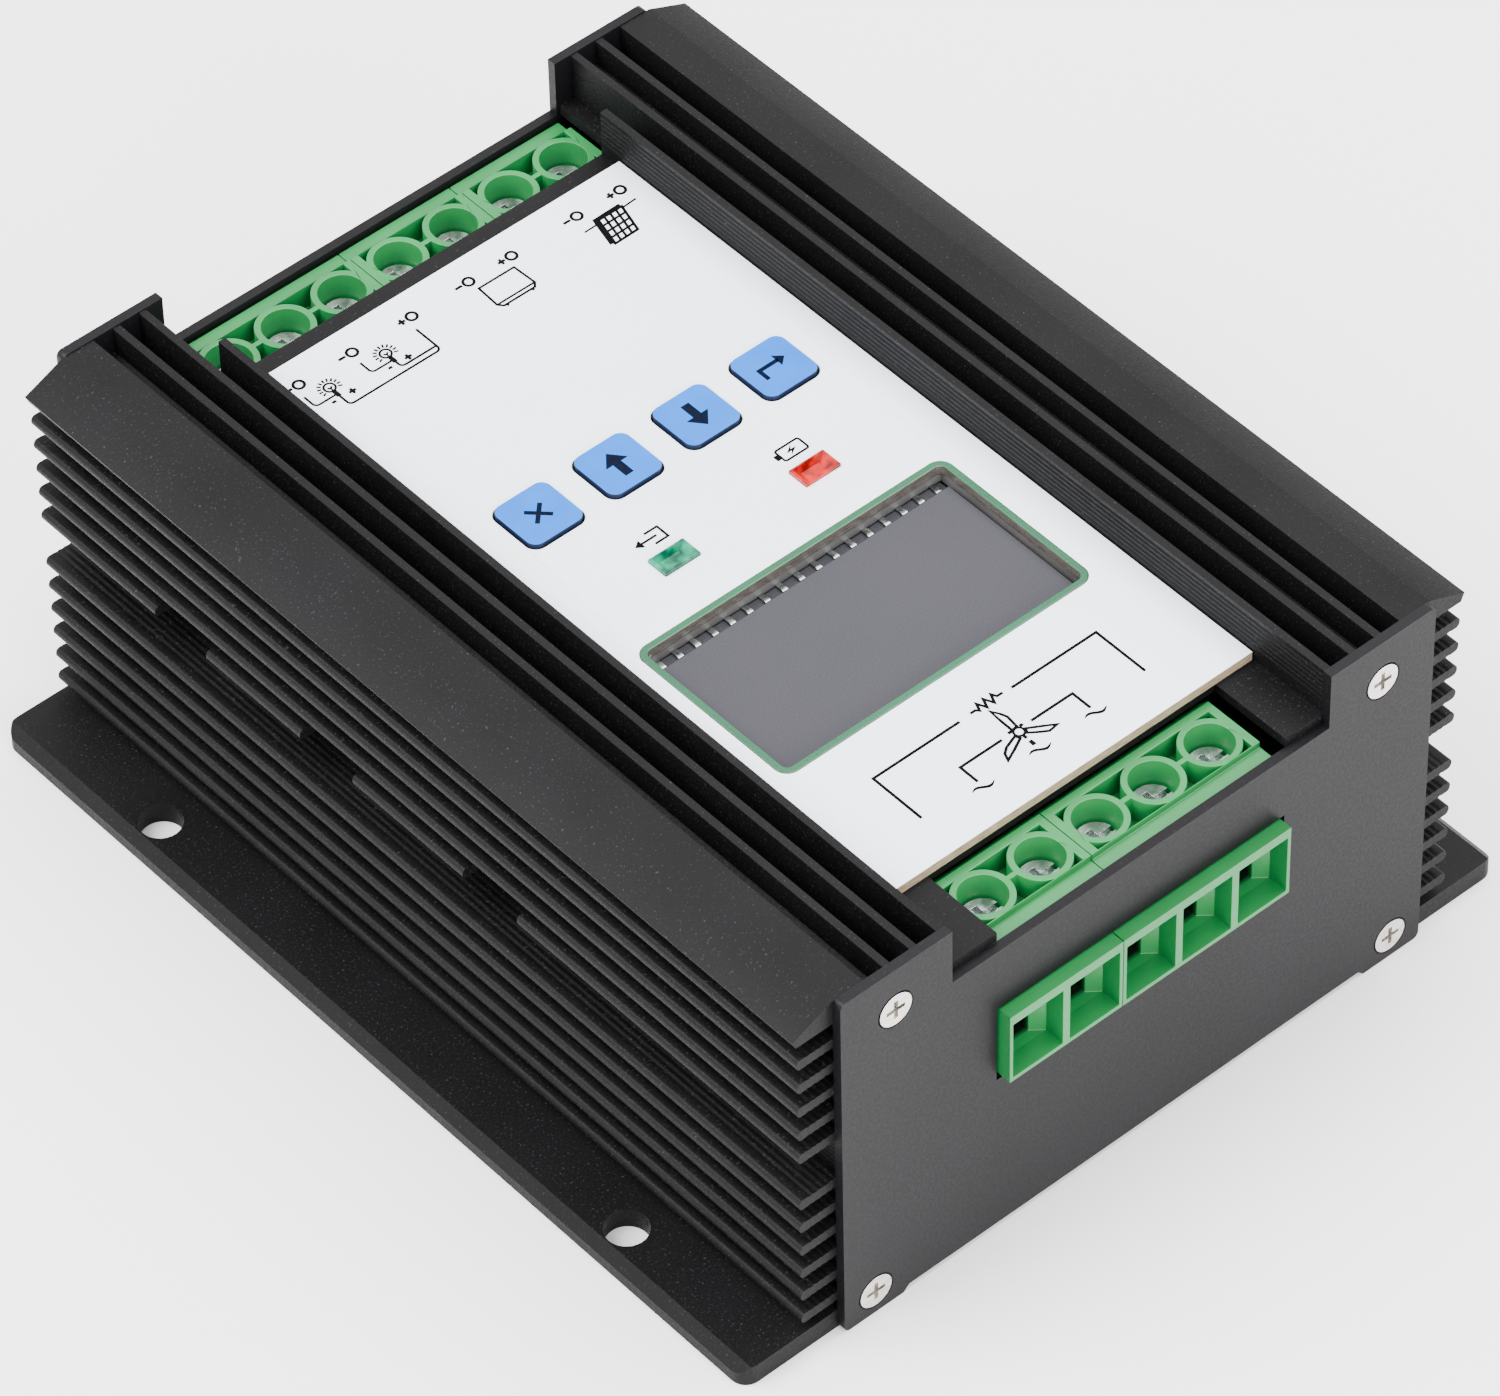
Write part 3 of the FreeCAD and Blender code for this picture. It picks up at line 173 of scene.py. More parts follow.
def paint_depth_shade(shader, colour):
    """Paints shade on what lies deep inside a wire entry, behind the end plate and below the deck: the
    colour turns dark by position, standing in for the shadow there.
    """
    absolute = shader.tree.nodes.new("ShaderNodeMath")
    absolute.operation = "ABSOLUTE"
    shader.link(shader.axis(shader.place, "Y"), absolute.inputs[0])
    deep = shader.ramp(absolute.outputs["Value"], 0.0784, 0.0776)
    low = shader.ramp(shader.axis(shader.place, "Z"), 0.0445, 0.0435)
    both = shader.tree.nodes.new("ShaderNodeMath")
    both.operation = "MULTIPLY"
    shader.link(deep, both.inputs[0])
    shader.link(low, both.inputs[1])
    # colour is the painted shade, mixed in where the part lies deep and low.
    base = shader.socket("Base Color").links[0].from_socket
    shader.colour(shader.mix(both.outputs["Value"], base, colour))
    return shader


def framed_print(name, printed, cut_edge):
    """A printed border whose cut edge shows the board it is printed on."""
    shader = moulded(name, *printed, roughness=0.3)
    fibres = shader.noise(700, 3, stretch=(1, 1, 6))
    edge = shader.mix(shader.ramp(fibres, 0.3, 0.7), *cut_edge)
    upward = shader.ramp(shader.axis(shader.normal, "Z"), 0.3, 0.6)
    shader.colour(shader.mix(upward, edge, shader.socket("Base Color").links[0].from_socket))
    return shader.material


def bright_metal(name, dark, light, roughness=0.28, painted_shade=False):
    """Plated metal with streaks from tumbling and slightly uneven gloss, and optionally painted shade deep
    inside the wire entries.
    """
    shader = Shader(name, roughness=roughness, metallic=1.0)
    streaks = shader.noise(700, 4, stretch=(1, 1, 3))
    fine = shader.noise(3500, 2)
    shader.colour(shader.mix(shader.ramp(streaks, 0.3, 0.7), dark, light))
    uneven = shader.ramp(streaks, 0.3, 0.7, roughness - 0.08, roughness + 0.14)
    shader.link(uneven, shader.socket("Roughness"))
    shader.bump(fine, 0.15, 0.00004)
    # Painted shade: the metal turns near black deep inside the wire entries.
    if painted_shade:
        paint_depth_shade(shader, (0.004, 0.004, 0.004))
    return shader.material


def panel_laminate():
    """White printed laminate with a glossy film and a tan cut edge."""
    shader = Shader("panel_laminate", roughness=0.22, coat=0.35)
    cloud = shader.noise(25, 3)
    white = shader.mix(shader.ramp(cloud, 0.3, 0.7), (0.76, 0.79, 0.84), (0.80, 0.83, 0.88))
    fibres = shader.noise(500, 4, stretch=(1, 1, 12))
    edge = shader.mix(shader.ramp(fibres, 0.3, 0.7), (0.17, 0.12, 0.07), (0.36, 0.28, 0.19))
    upward = shader.ramp(shader.axis(shader.normal, "Z"), 0.3, 0.6)
    shader.colour(shader.mix(upward, edge, white))
    peel = shader.noise(260, 2)
    shader.bump(peel, 0.04, 0.0001)
    return shader.material


def display_glass():
    """A switched-off display: smoky polariser over a faint segment field."""
    shader = Shader("display_glass", roughness=0.3)
    shader.socket("Specular IOR Level").default_value = 0.2
    fine = shader.noise(5000, 2)
    cloud = shader.noise(40, 3)
    base = shader.mix(shader.ramp(cloud, 0.3, 0.7), (0.030, 0.0295, 0.036), (0.035, 0.0345, 0.041))
    shader.colour(shader.mix(shader.ramp(fine, 0.35, 0.75), base, (0.043, 0.042, 0.049)))
    shader.link(shader.ramp(fine, 0.3, 0.7, 0.14, 0.26), shader.socket("Roughness"))
    return shader.material


def clear_lens(name, dark, light):
    """Tinted clear plastic over a reflector, with a faint painted glow."""
    shader = Shader(name, roughness=0.12)
    depth = shader.noise(420, 2)
    shader.colour(shader.mix(shader.ramp(depth, 0.35, 0.65), dark, light))
    # Painted light: the weak emission is a glow standing in for light caught inside the lens; no lit lamp is
    # behind it.
    shader.socket("Emission Strength").default_value = 0.08
    shader.socket("Specular IOR Level").default_value = 0.35
    shader.socket("Emission Color").default_value = (*light, 1)
    return shader.material


def key_film():
    """Glossy blue key tops with dark navy sides and flange."""
    shader = Shader("key_film", roughness=0.4)
    shader.socket("Specular IOR Level").default_value = 0.12
    cloud = shader.noise(220, 3)
    blue = shader.mix(shader.ramp(cloud, 0.3, 0.7), (0.0, 0.105, 0.46), (0.0, 0.120, 0.52))
    upward = shader.ramp(shader.axis(shader.normal, "Z"), 0.55, 0.8)
    raised = shader.ramp(shader.axis(shader.place, "Z"), PANEL_TOP, PANEL_TOP + 0.0002)
    both = shader.tree.nodes.new("ShaderNodeMath")
    both.operation = "MULTIPLY"
    shader.link(upward, both.inputs[0])
    shader.link(raised, both.inputs[1])
    shader.colour(shader.mix(both.outputs["Value"], (0.008, 0.013, 0.035), blue))
    shader.bump(shader.noise(2200, 2), 0.08, 0.00004)
    return shader.material


def ink(name, colour):
    """Matt screen printing ink with a fine grain."""
    shader = Shader(name, roughness=0.6)
    shader.socket("Specular IOR Level").default_value = 0.03
    grain = shader.noise(3000, 2)
    paler = tuple(part * 1.6 + 0.001 for part in colour)
    shader.colour(shader.mix(shader.ramp(grain, 0.4, 0.8), colour, paler))
    return shader.material


def circuit_board():
    """Green solder mask over faint copper tracks."""
    shader = Shader("circuit_board", roughness=0.3, coat=0.4)
    tracks = shader.tree.nodes.new("ShaderNodeTexBrick")
    tracks.inputs["Scale"].default_value = 240
    tracks.inputs["Color1"].default_value = (0.012, 0.10, 0.045, 1)
    tracks.inputs["Color2"].default_value = (0.016, 0.13, 0.055, 1)
    tracks.inputs["Mortar"].default_value = (0.03, 0.20, 0.08, 1)
    shader.link(shader.place, tracks.inputs["Vector"])
    shader.colour(tracks.outputs["Color"])
    shader.bump(tracks.outputs["Fac"], 0.2, 0.00005)
    return shader.material


def pale_floor():
    shader = Shader("pale_floor", roughness=0.75)
    cloud = shader.noise(3, 3)
    shader.colour(shader.mix(shader.ramp(cloud, 0.3, 0.7), (0.86, 0.86, 0.86), (0.88, 0.88, 0.88)))
    return shader.material


black_metal = anodised_black()
plate_metal = plate_black()
green_moulding = moulded("terminal_green", (0.006, 0.135, 0.030), (0.008, 0.160, 0.037), 0.36, 0.0)
# Painted shade: the terminal green turns near black deep inside the wire entries.
green_plastic = paint_depth_shade(green_moulding, (0.002, 0.006, 0.003)).material
bezel_green = framed_print(
    "bezel_green",
    ((0.001, 0.066, 0.024), (0.001, 0.080, 0.030)),
    ((0.035, 0.030, 0.026), (0.085, 0.075, 0.066)),
)
black_plastic = moulded("black_plastic", (0.004, 0.004, 0.0045), (0.008, 0.008, 0.009), 0.45).material
white_plastic = moulded("white_plastic", (0.62, 0.62, 0.58), (0.70, 0.70, 0.66), 0.5).material
recess_grey = moulded("recess_grey", (0.060, 0.058, 0.058), (0.085, 0.082, 0.082), 0.45).material
ferrite = moulded("ferrite_coating", (0.10, 0.09, 0.07), (0.16, 0.15, 0.12), 0.6).material
can_sleeve = moulded("can_sleeve", (0.004, 0.005, 0.010), (0.008, 0.009, 0.016), 0.25).material
nickel = bright_metal("nickel_plate", (0.60, 0.57, 0.53), (0.80, 0.77, 0.72))
# Zinc and tinned copper carry painted shade deep inside the wire entries.
zinc = bright_metal("zinc_plate", (0.38, 0.40, 0.41), (0.66, 0.68, 0.68), 0.2, painted_shade=True)
clip_metal = bright_metal("clip_metal", (0.20, 0.22, 0.21), (0.42, 0.45, 0.43), 0.18)
tinned = bright_metal("tinned_copper", (0.45, 0.40, 0.34), (0.62, 0.58, 0.52), 0.35, painted_shade=True)
copper = bright_metal("enamelled_copper", (0.50, 0.20, 0.08), (0.70, 0.32, 0.14), 0.3)
laminate = panel_laminate()
lcd_material = display_glass()
board_material = circuit_board()
lens_red = clear_lens("lens_red", (0.11, 0.001, 0.001), (0.52, 0.004, 0.003))
lens_green = clear_lens("lens_green", (0.0, 0.045, 0.024), (0.001, 0.24, 0.13))
key_material = key_film()
black_ink = ink("black_ink", (0.0012, 0.0012, 0.0014))
navy_ink = ink("navy_ink", (0.0015, 0.003, 0.010))

NODE_MATERIALS = {
    "end_plate_wind": plate_metal,
    "end_plate_power": plate_metal,
    "end_plate_screws": nickel,
    "main_board": board_material,
    "display_board": board_material,
    "capacitors": can_sleeve,
    "inductor_core": ferrite,
    "inductor_winding": copper,
    "power_transistors": black_plastic,
    "transistor_screws": nickel,
    "current_bars_wind": tinned,
    "current_bars_power": tinned,
    "front_panel": laminate,
    "lcd_bezel": bezel_green,
    "lcd_backlight": white_plastic,
    "display_spacers": black_plastic,
    "board_connector": black_plastic,
    "tact_switches": black_plastic,
}


def material_of(name):
    if name in NODE_MATERIALS:
        return NODE_MATERIALS[name]
    if name.startswith("terminal_block"):
        return green_plastic
    if name.startswith("clamp_screw") or name.startswith("clamp_cage"):
        return zinc
    if name.startswith("key_"):
        return key_material
    if name.startswith("switch_stem"):
        return white_plastic
    return black_plastic


EDGE_ROUNDING_MM = {
    "end_plate_wind": 0.25,
    "end_plate_power": 0.25,
    "front_panel": 0.06,
    "lcd_bezel": 0.15,
    "capacitors": 0.6,
}


def round_edges(item, width_mm, segments=2):
    """Joins the CAD faces at their shared edges, then rounds every edge sharper than 32 degrees."""
    weld = item.modifiers.new("weld", "WELD")
    weld.merge_threshold = 0.000002
    bevel = item.modifiers.new("rounding", "BEVEL")
    bevel.width = width_mm * MM
    bevel.segments = segments
    bevel.limit_method = "ANGLE"
    bevel.angle_limit = math.radians(32)
    bevel.use_clamp_overlap = True
    bevel.harden_normals = False


def dress_cad_nodes():
    for name, item in nodes.items():
        item.data.materials.clear()
        item.data.materials.append(material_of(name))
        default = 0.18 if name.startswith(("terminal_block", "key_")) else 0.08
        round_edges(item, EDGE_ROUNDING_MM.get(name, default))


dress_cad_nodes()


# ---------------------------------------------------------------- mesh helpers

def finish_piece(name, mesh, material, body="case", smooth_angle=35):
    """Links a mesh as a piece that rides on a body."""
    mesh.materials.append(material)
    for face in mesh.polygons:
        face.use_smooth = True
    mesh.set_sharp_from_angle(angle=math.radians(smooth_angle))
    item = bpy.data.objects.new(name, mesh)
    bpy.context.scene.collection.objects.link(item)
    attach(item, body)
    return item


def new_mesh(name, bm):
    bmesh.ops.recalc_face_normals(bm, faces=bm.faces)
    mesh = bpy.data.meshes.new(name)
    bm.to_mesh(mesh)
    bm.free()
    return mesh


def add_prism(bm, outline, low, high, place):
    """A closed solid over an outline. place(a, b, level) gives a corner's position."""
    bottom = [bm.verts.new(place(a, b, low)) for a, b in outline]
    top = [bm.verts.new(place(a, b, high)) for a, b in outline]
    bm.faces.new(bottom)
    bm.faces.new(top)
    count = len(outline)
    for step in range(count):
        after = (step + 1) % count
        bm.faces.new((bottom[step], bottom[after], top[after], top[step]))


def upright_place(a, b, level):
    return Vector((a, b, level))


def along_y(a, b, level):
    return Vector((a, level, b))


def cutter_box(name, low_mm, high_mm):
    """A block that a boolean takes away. It is removed once it has been used."""
    bm = bmesh.new()
    x0, y0, z0 = low_mm
    x1, y1, z1 = high_mm
    outline = [(x0, y0), (x1, y0), (x1, y1), (x0, y1)]
    outline = [(a * MM, b * MM) for a, b in outline]
    add_prism(bm, outline, z0 * MM, z1 * MM, upright_place)
    return bpy.data.objects.new(name, new_mesh(name, bm))


def circle(x, y, radius, steps=40):
    points = []
    for step in range(steps):
        angle = 2 * math.pi * step / steps
        points.append((x + radius * math.cos(angle), y + radius * math.sin(angle)))
    return points


def rounded_outline(x0, y0, x1, y1, radius, steps=6):
    """A rectangle with rounded corners, anticlockwise."""
    points = []
    corners = ((x1, y1, 0), (x0, y1, 90), (x0, y0, 180), (x1, y0, 270))
    for corner_x, corner_y, start in corners:
        centre_x = corner_x - math.copysign(radius, corner_x - (x0 + x1) / 2)
        centre_y = corner_y - math.copysign(radius, corner_y - (y0 + y1) / 2)
        for step in range(steps + 1):
            angle = math.radians(start + 90 * step / steps)
            x = centre_x + radius * math.cos(angle)
            y = centre_y + radius * math.sin(angle)
            points.append((x, y))
    return points


# ---------------------------------------------------------------- extruded housing

LENGTH_MM = (housing_high.y - housing_low.y) / MM
BASE_HALF_MM = housing_high.x / MM
TOP_MM = housing_high.z / MM
BASE_THICK_MM = 3.5
BASE_BEVEL_MM = 1.5
WALL_MM = 52.0
CAVITY_MM = 49.0
FIN_FIRST_MM = 5.5
FIN_PITCH_MM = 4.6
FIN_THICK_MM = 1.8
FIN_TIP_MM = 59.3
FINS = (0, 1, 2, 3, 4, 5, 7, 8, 9, 10, 11)
LIP_UNDER_MM = 60.7
LIP_TIP_MM = 59.9
LIP_EDGE_MM = 62.1
LIP_FLAT_MM = 53.2
STRIP_INNER_MM = 47.7
DECK_TOP_MM = panel_low.z / MM
DECK_UNDER_MM = DECK_TOP_MM - 1.6
RIB_INNER_MM = (43.1, 38.5, 33.9)
RIB_THICK_MM = 1.2
RIPPLE_MM = 0.11
BOSSES_MM = ((43.5, 57.5), (47.4, 4.2))
BOSS_RADIUS_MM = 3.2


def rippled(start, end, count, depth=RIPPLE_MM, margin=0.12):
    """A straight run whose middle carries count small waves. They sink to the right of the run."""
    (x0, z0), (x1, z1) = start, end
    length = math.hypot(x1 - x0, z1 - z0)
    right = ((z1 - z0) / length, -(x1 - x0) / length)
    points = [start]
    steps = count * 8
    for step in range(steps + 1):
        share = margin + (1 - 2 * margin) * step / steps
        sink = depth * (1 - math.cos(2 * math.pi * step / 8)) / 2
        x = x0 + (x1 - x0) * share + right[0] * sink
        z = z0 + (z1 - z0) * share + right[1] * sink
        points.append((x, z))
    points.append(end)
    return points


def fin_outline(low):
    """Out along the underside of a fin, round its tip and back along its top."""
    high = low + FIN_THICK_MM
    middle = (low + high) / 2
    radius = FIN_THICK_MM / 2
    flat_end = FIN_TIP_MM - radius * 0.7
    under = rippled((flat_end, low), (WALL_MM, low), 5)
    points = list(reversed(under))
    for step in range(1, 8):
        angle = math.radians(-90 + 180 * step / 8)
        points.append((flat_end + radius * 0.7 * math.cos(angle), middle + radius * math.sin(angle)))
    points += list(reversed(rippled((WALL_MM, high), (flat_end, high), 5)))
    return points


def right_outline():
    """The right half of the section, from the base's underside up to the deck."""
    points = [
        (BASE_HALF_MM, 0.0),
        (BASE_HALF_MM, BASE_THICK_MM - BASE_BEVEL_MM),
        (BASE_HALF_MM - BASE_BEVEL_MM, BASE_THICK_MM),
        (WALL_MM, BASE_THICK_MM),
    ]
    previous_top = BASE_THICK_MM
    for fin in FINS:
        low = FIN_FIRST_MM + FIN_PITCH_MM * fin
        if low - previous_top > FIN_PITCH_MM:
            points += list(reversed(rippled((WALL_MM, low), (WALL_MM, previous_top), 7)))[1:-1]
        points += fin_outline(low)
        previous_top = low + FIN_THICK_MM
    points += [
        (WALL_MM, LIP_UNDER_MM),
        (FIN_TIP_MM, LIP_UNDER_MM),
        (LIP_TIP_MM, LIP_EDGE_MM),
        (LIP_FLAT_MM, TOP_MM),
        (STRIP_INNER_MM, TOP_MM),
        (STRIP_INNER_MM, DECK_TOP_MM),
    ]
    for inner in RIB_INNER_MM:
        outer = inner + RIB_THICK_MM
        points += [(outer, DECK_TOP_MM), (outer, TOP_MM)]
        if inner == RIB_INNER_MM[-1]:
            seat = PANEL_TOP / MM + 0.3
            face = rippled((inner, seat), (inner, TOP_MM), 6, 0.16, 0.06)
            points += list(reversed(face))
        else:
            points.append((inner, TOP_MM))
        points.append((inner, DECK_TOP_MM))
    return points


def extrude_section(name, loops):
    """Both ends and all sides of a section with holes, along the whole length."""
    bm = bmesh.new()
    half = LENGTH_MM / 2
    for y in (-half, half):
        edges = []
        for loop in loops:
            ring = [bm.verts.new((x * MM, y * MM, z * MM)) for x, z in loop]
            count = len(ring)
            for step in range(count):
                edges.append(bm.edges.new((ring[step], ring[(step + 1) % count])))
        bmesh.ops.triangle_fill(bm, edges=edges, use_beauty=True)
    bm.verts.ensure_lookup_table()
    total = sum(len(loop) for loop in loops)
    first = 0
    for loop in loops:
        count = len(loop)
        for step in range(count):
            here, after = first + step, first + (step + 1) % count
            corners = (here, after, after + total, here + total)
            bm.faces.new([bm.verts[index] for index in corners])
        first += count
    return new_mesh(name, bm)


def housing_cutters():
    """Blocks and cylinders for the notches, the deck windows, the fin windows and the bolt holes."""
    past = 5.0
    end = LENGTH_MM / 2
    top = TOP_MM + past
    below_deck = DECK_UNDER_MM - 0.5
    frame_mm = 0.8
    notch_wind_left = -27.0
    notch_wind_right = 24.6
    notch_wind_start = 65.8
    notch_power_half = 36.0
    notch_power_start = -67.7
    keys_half = 28.8
    keys_front = -24.0
    keys_back = 4.9
    window_rows = (-48.5, -17.0, 17.4)
    window_half = 5.6
    window_gap = 0.3
    bolt_x = 64.5
    bolt_y = 50.0
    bolt_radius = 3.25
    bolt_low_m = -0.002
    bolt_high_m = 0.006
    wind_low = (notch_wind_left, notch_wind_start, below_deck)
    wind_high = (notch_wind_right, end + past, top)
    power_low = (-notch_power_half, -end - past, below_deck)
    power_high = (notch_power_half, notch_power_start, top)
    cutters = [
        cutter_box("notch_wind", wind_low, wind_high),
        cutter_box("notch_power", power_low, power_high),
        cutter_box(
            "deck_lcd",
            (bezel_low.x / MM + frame_mm, bezel_low.y / MM + frame_mm, below_deck),
            (bezel_high.x / MM - frame_mm, bezel_high.y / MM - frame_mm, top),
        ),
        cutter_box("deck_keys", (-keys_half, keys_front, below_deck), (keys_half, keys_back, top)),
    ]
    window_low = FIN_FIRST_MM + FIN_PITCH_MM * 7 - window_gap
    window_high = window_low + FIN_THICK_MM + 2 * window_gap
    for side in (-1, 1):
        for row in window_rows:
            x = sorted((side * WALL_MM, side * (FIN_TIP_MM + 1)))
            low = (x[0], row - window_half, window_low)
            high = (x[1], row + window_half, window_high)
            cutters.append(cutter_box("fin_window", low, high))
    for x in (-bolt_x, bolt_x):
        for y in (-bolt_y, bolt_y):
            bm = bmesh.new()
            outline = [(a * MM, b * MM) for a, b in circle(x, y, bolt_radius, 48)]
            add_prism(bm, outline, bolt_low_m, bolt_high_m, upright_place)
            cutters.append(bpy.data.objects.new("bolt_hole", new_mesh("bolt_hole", bm)))
    return cutters


def flange_corner_cutters():
    """What the rounded corners of the flange leave out."""
    radius = 2.5
    cutters = []
    for side_x in (-1, 1):
        for side_y in (-1, 1):
            corner_x, corner_y = BASE_HALF_MM, LENGTH_MM / 2
            outline = [(corner_x + 1, corner_y - radius), (corner_x + 1, corner_y + 1)]
            outline.append((corner_x - radius, corner_y + 1))
            for step in range(9):
                angle = math.radians(90 - 90 * step / 8)
                x = corner_x - radius + radius * math.cos(angle)
                y = corner_y - radius + radius * math.sin(angle)
                outline.append((x, y))
            placed = [(a * side_x * MM, b * side_y * MM) for a, b in outline]
            bm = bmesh.new()
            add_prism(bm, placed, -0.002, 0.0045, upright_place)
            cutters.append(bpy.data.objects.new("flange_corner", new_mesh("flange_corner", bm)))
    return cutters


def screw_bosses():
    """The round bosses along the extrusion that hold the end plates' screws."""
    bosses = []
    half = LENGTH_MM / 2 * MM
    for side in (-1, 1):
        for x, z in BOSSES_MM:
            bm = bmesh.new()
            outline = [(a * MM, b * MM) for a, b in circle(x * side, z, BOSS_RADIUS_MM, 48)]
            add_prism(bm, outline, -half, half, along_y)
            bosses.append(bpy.data.objects.new("screw_boss", new_mesh("screw_boss", bm)))
    return bosses


def apply_modifiers(item):
    """Replaces the mesh by what its modifiers make of it."""
    graph = bpy.context.evaluated_depsgraph_get()
    mesh = bpy.data.meshes.new_from_object(item.evaluated_get(graph))
    item.modifiers.clear()
    item.data = mesh


def combine(item, tools, operation):
    """Adds the tools to a piece with UNION, or takes them away with DIFFERENCE."""
    for tool in tools:
        bpy.context.scene.collection.objects.link(tool)
        boolean = item.modifiers.new("combine", "BOOLEAN")
        boolean.operation = operation
        boolean.solver = "EXACT"
        boolean.object = tool
    bpy.context.view_layer.update()
    apply_modifiers(item)
    for tool in tools:
        bpy.data.objects.remove(tool)


def make_housing():
    right = right_outline()
    left = [(-x, z) for x, z in reversed(right)]
    cavity = [
        (-CAVITY_MM, BASE_THICK_MM),
        (CAVITY_MM, BASE_THICK_MM),
        (CAVITY_MM, DECK_UNDER_MM),
        (-CAVITY_MM, DECK_UNDER_MM),
    ]
    mesh = extrude_section("finned_housing", [right + left, cavity])
    item = finish_piece("finned_housing", mesh, black_metal)
    combine(item, screw_bosses(), "UNION")
    combine(item, housing_cutters() + flange_corner_cutters(), "DIFFERENCE")
    for face in item.data.polygons:
        face.use_smooth = True
    item.data.set_sharp_from_angle(angle=math.radians(35))
    bevel = item.modifiers.new("rounding", "BEVEL")
    bevel.width = 0.00018
    bevel.segments = 2
    bevel.limit_method = "ANGLE"
    bevel.angle_limit = math.radians(38)
    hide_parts("heatsink_housing")
    return item


make_housing()


# ---------------------------------------------------------------- display

def make_display():
    """Two glass plates: the lower one is longer, and the contact clips sit on its ledge."""
    ledge_low = bezel_low.y + 1.15 * MM
    middle = glass_high.z - 1.1 * MM
    bm = bmesh.new()
    lower = [
        (glass_low.x, ledge_low),
        (glass_high.x, ledge_low),
        (glass_high.x, glass_high.y),
        (glass_low.x, glass_high.y),
    ]
    add_prism(bm, lower, glass_low.z, middle, upright_place)
    plate = finish_piece("lcd_lower_plate", new_mesh("lcd_lower_plate", bm), lcd_material)
    bm = bmesh.new()
    upper = [
        (glass_low.x + 0.4 * MM, glass_low.y),
        (glass_high.x - 0.4 * MM, glass_low.y),
        (glass_high.x - 0.4 * MM, glass_high.y - 0.3 * MM),
        (glass_low.x + 0.4 * MM, glass_high.y - 0.3 * MM),
    ]
    add_prism(bm, upper, middle, glass_high.z, upright_place)
    cell = finish_piece("lcd_upper_plate", new_mesh("lcd_upper_plate", bm), lcd_material)
    for item in (plate, cell):
        bevel = item.modifiers.new("rounding", "BEVEL")
        bevel.width = 0.00015
        bevel.segments = 2
    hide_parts("lcd_glass")
    make_recess_wall()
    make_lcd_clips(ledge_low, middle)


def make_recess_wall():
    """The thin wall between the frame's underside and the display."""
    bm = bmesh.new()
    inset, thick = 1.1 * MM, 0.25 * MM
    x0, x1 = bezel_low.x + inset, bezel_high.x - inset
    y0, y1 = bezel_low.y + inset, bezel_high.y - inset
    low, high = panel_low.z - 1.5 * MM, panel_low.z
    for corners in (
        (x0 - thick, y0 - thick, x0, y1 + thick),
        (x1, y0 - thick, x1 + thick, y1 + thick),
        (x0, y0 - thick, x1, y0),
        (x0, y1, x1, y1 + thick),
    ):
        a0, b0, a1, b1 = corners
        add_prism(bm, [(a0, b0), (a1, b0), (a1, b1), (a0, b1)], low, high, upright_place)
    finish_piece("display_recess_wall", new_mesh("display_recess_wall", bm), recess_grey)


def make_lcd_clips(edge, ledge):
    """Seventeen bent contact clips along the edge of the lower glass."""
    bm = bmesh.new()
    first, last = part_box("lcd_pins")
    count = 17
    half = 0.45 * MM
    pitch = (last.x - first.x - 0.7 * MM) / (count - 1)
    thick = 0.25 * MM
    for number in range(count):
        x = first.x + 0.35 * MM + pitch * number
        side = [
            (edge - thick, glass_low.z - 1.5 * MM),
            (edge, glass_low.z - 1.5 * MM),
            (edge, ledge + 0.05 * MM),
            (edge + 1.5 * MM, ledge + 0.05 * MM),
            (edge + 1.7 * MM, ledge + 0.35 * MM),
            (edge + 1.1 * MM, ledge + 0.05 * MM + thick * 1.6),
            (edge - thick * 0.4, ledge + 0.05 * MM + thick),
            (edge - thick, ledge),
        ]
        add_prism(bm, side, x - half, x + half, lambda a, b, level: Vector((level, a, b)))
    mesh = new_mesh("lcd_contact_clips", bm)
    clips = finish_piece("lcd_contact_clips", mesh, clip_metal)
    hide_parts("lcd_pins")


make_display()


def make_lamp(name, node, material):
    """A rectangular lens with a raised rim and four facets that fall to a small floor."""
    low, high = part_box(node)
    rim = 0.35 * MM
    floor_x, floor_y = 1.5 * MM, 0.8 * MM
    sink = 1.1 * MM
    rings = [
        (low.x, low.y, high.x, high.y, low.z),
        (low.x, low.y, high.x, high.y, high.z - 0.15 * MM),
        (low.x + 0.12 * MM, low.y + 0.12 * MM, high.x - 0.12 * MM, high.y - 0.12 * MM, high.z),
        (low.x + rim, low.y + rim, high.x - rim, high.y - rim, high.z),
        (low.x + floor_x, low.y + floor_y, high.x - floor_x, high.y - floor_y, high.z - sink),
    ]
    bm = bmesh.new()
    previous = None
    for x0, y0, x1, y1, z in rings:
        ring = [bm.verts.new(corner) for corner in ((x0, y0, z), (x1, y0, z), (x1, y1, z), (x0, y1, z))]
        if previous is None:
            bm.faces.new(list(reversed(ring)))
        else:
            for step in range(4):
                after = (step + 1) % 4
                bm.faces.new((previous[step], previous[after], ring[after], ring[step]))
        previous = ring
    bm.faces.new(previous)
    item = finish_piece(name, new_mesh(name, bm), material, smooth_angle=10)
    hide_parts(node)


make_lamp("lamp_lens_charge", "lamp_charge", lens_red)
make_lamp("lamp_lens_output", "lamp_output", lens_green)


# ---------------------------------------------------------------- printed graphics

INK_THICK = 0.00003
BOLD = 1.3
LINE_MM = 0.36


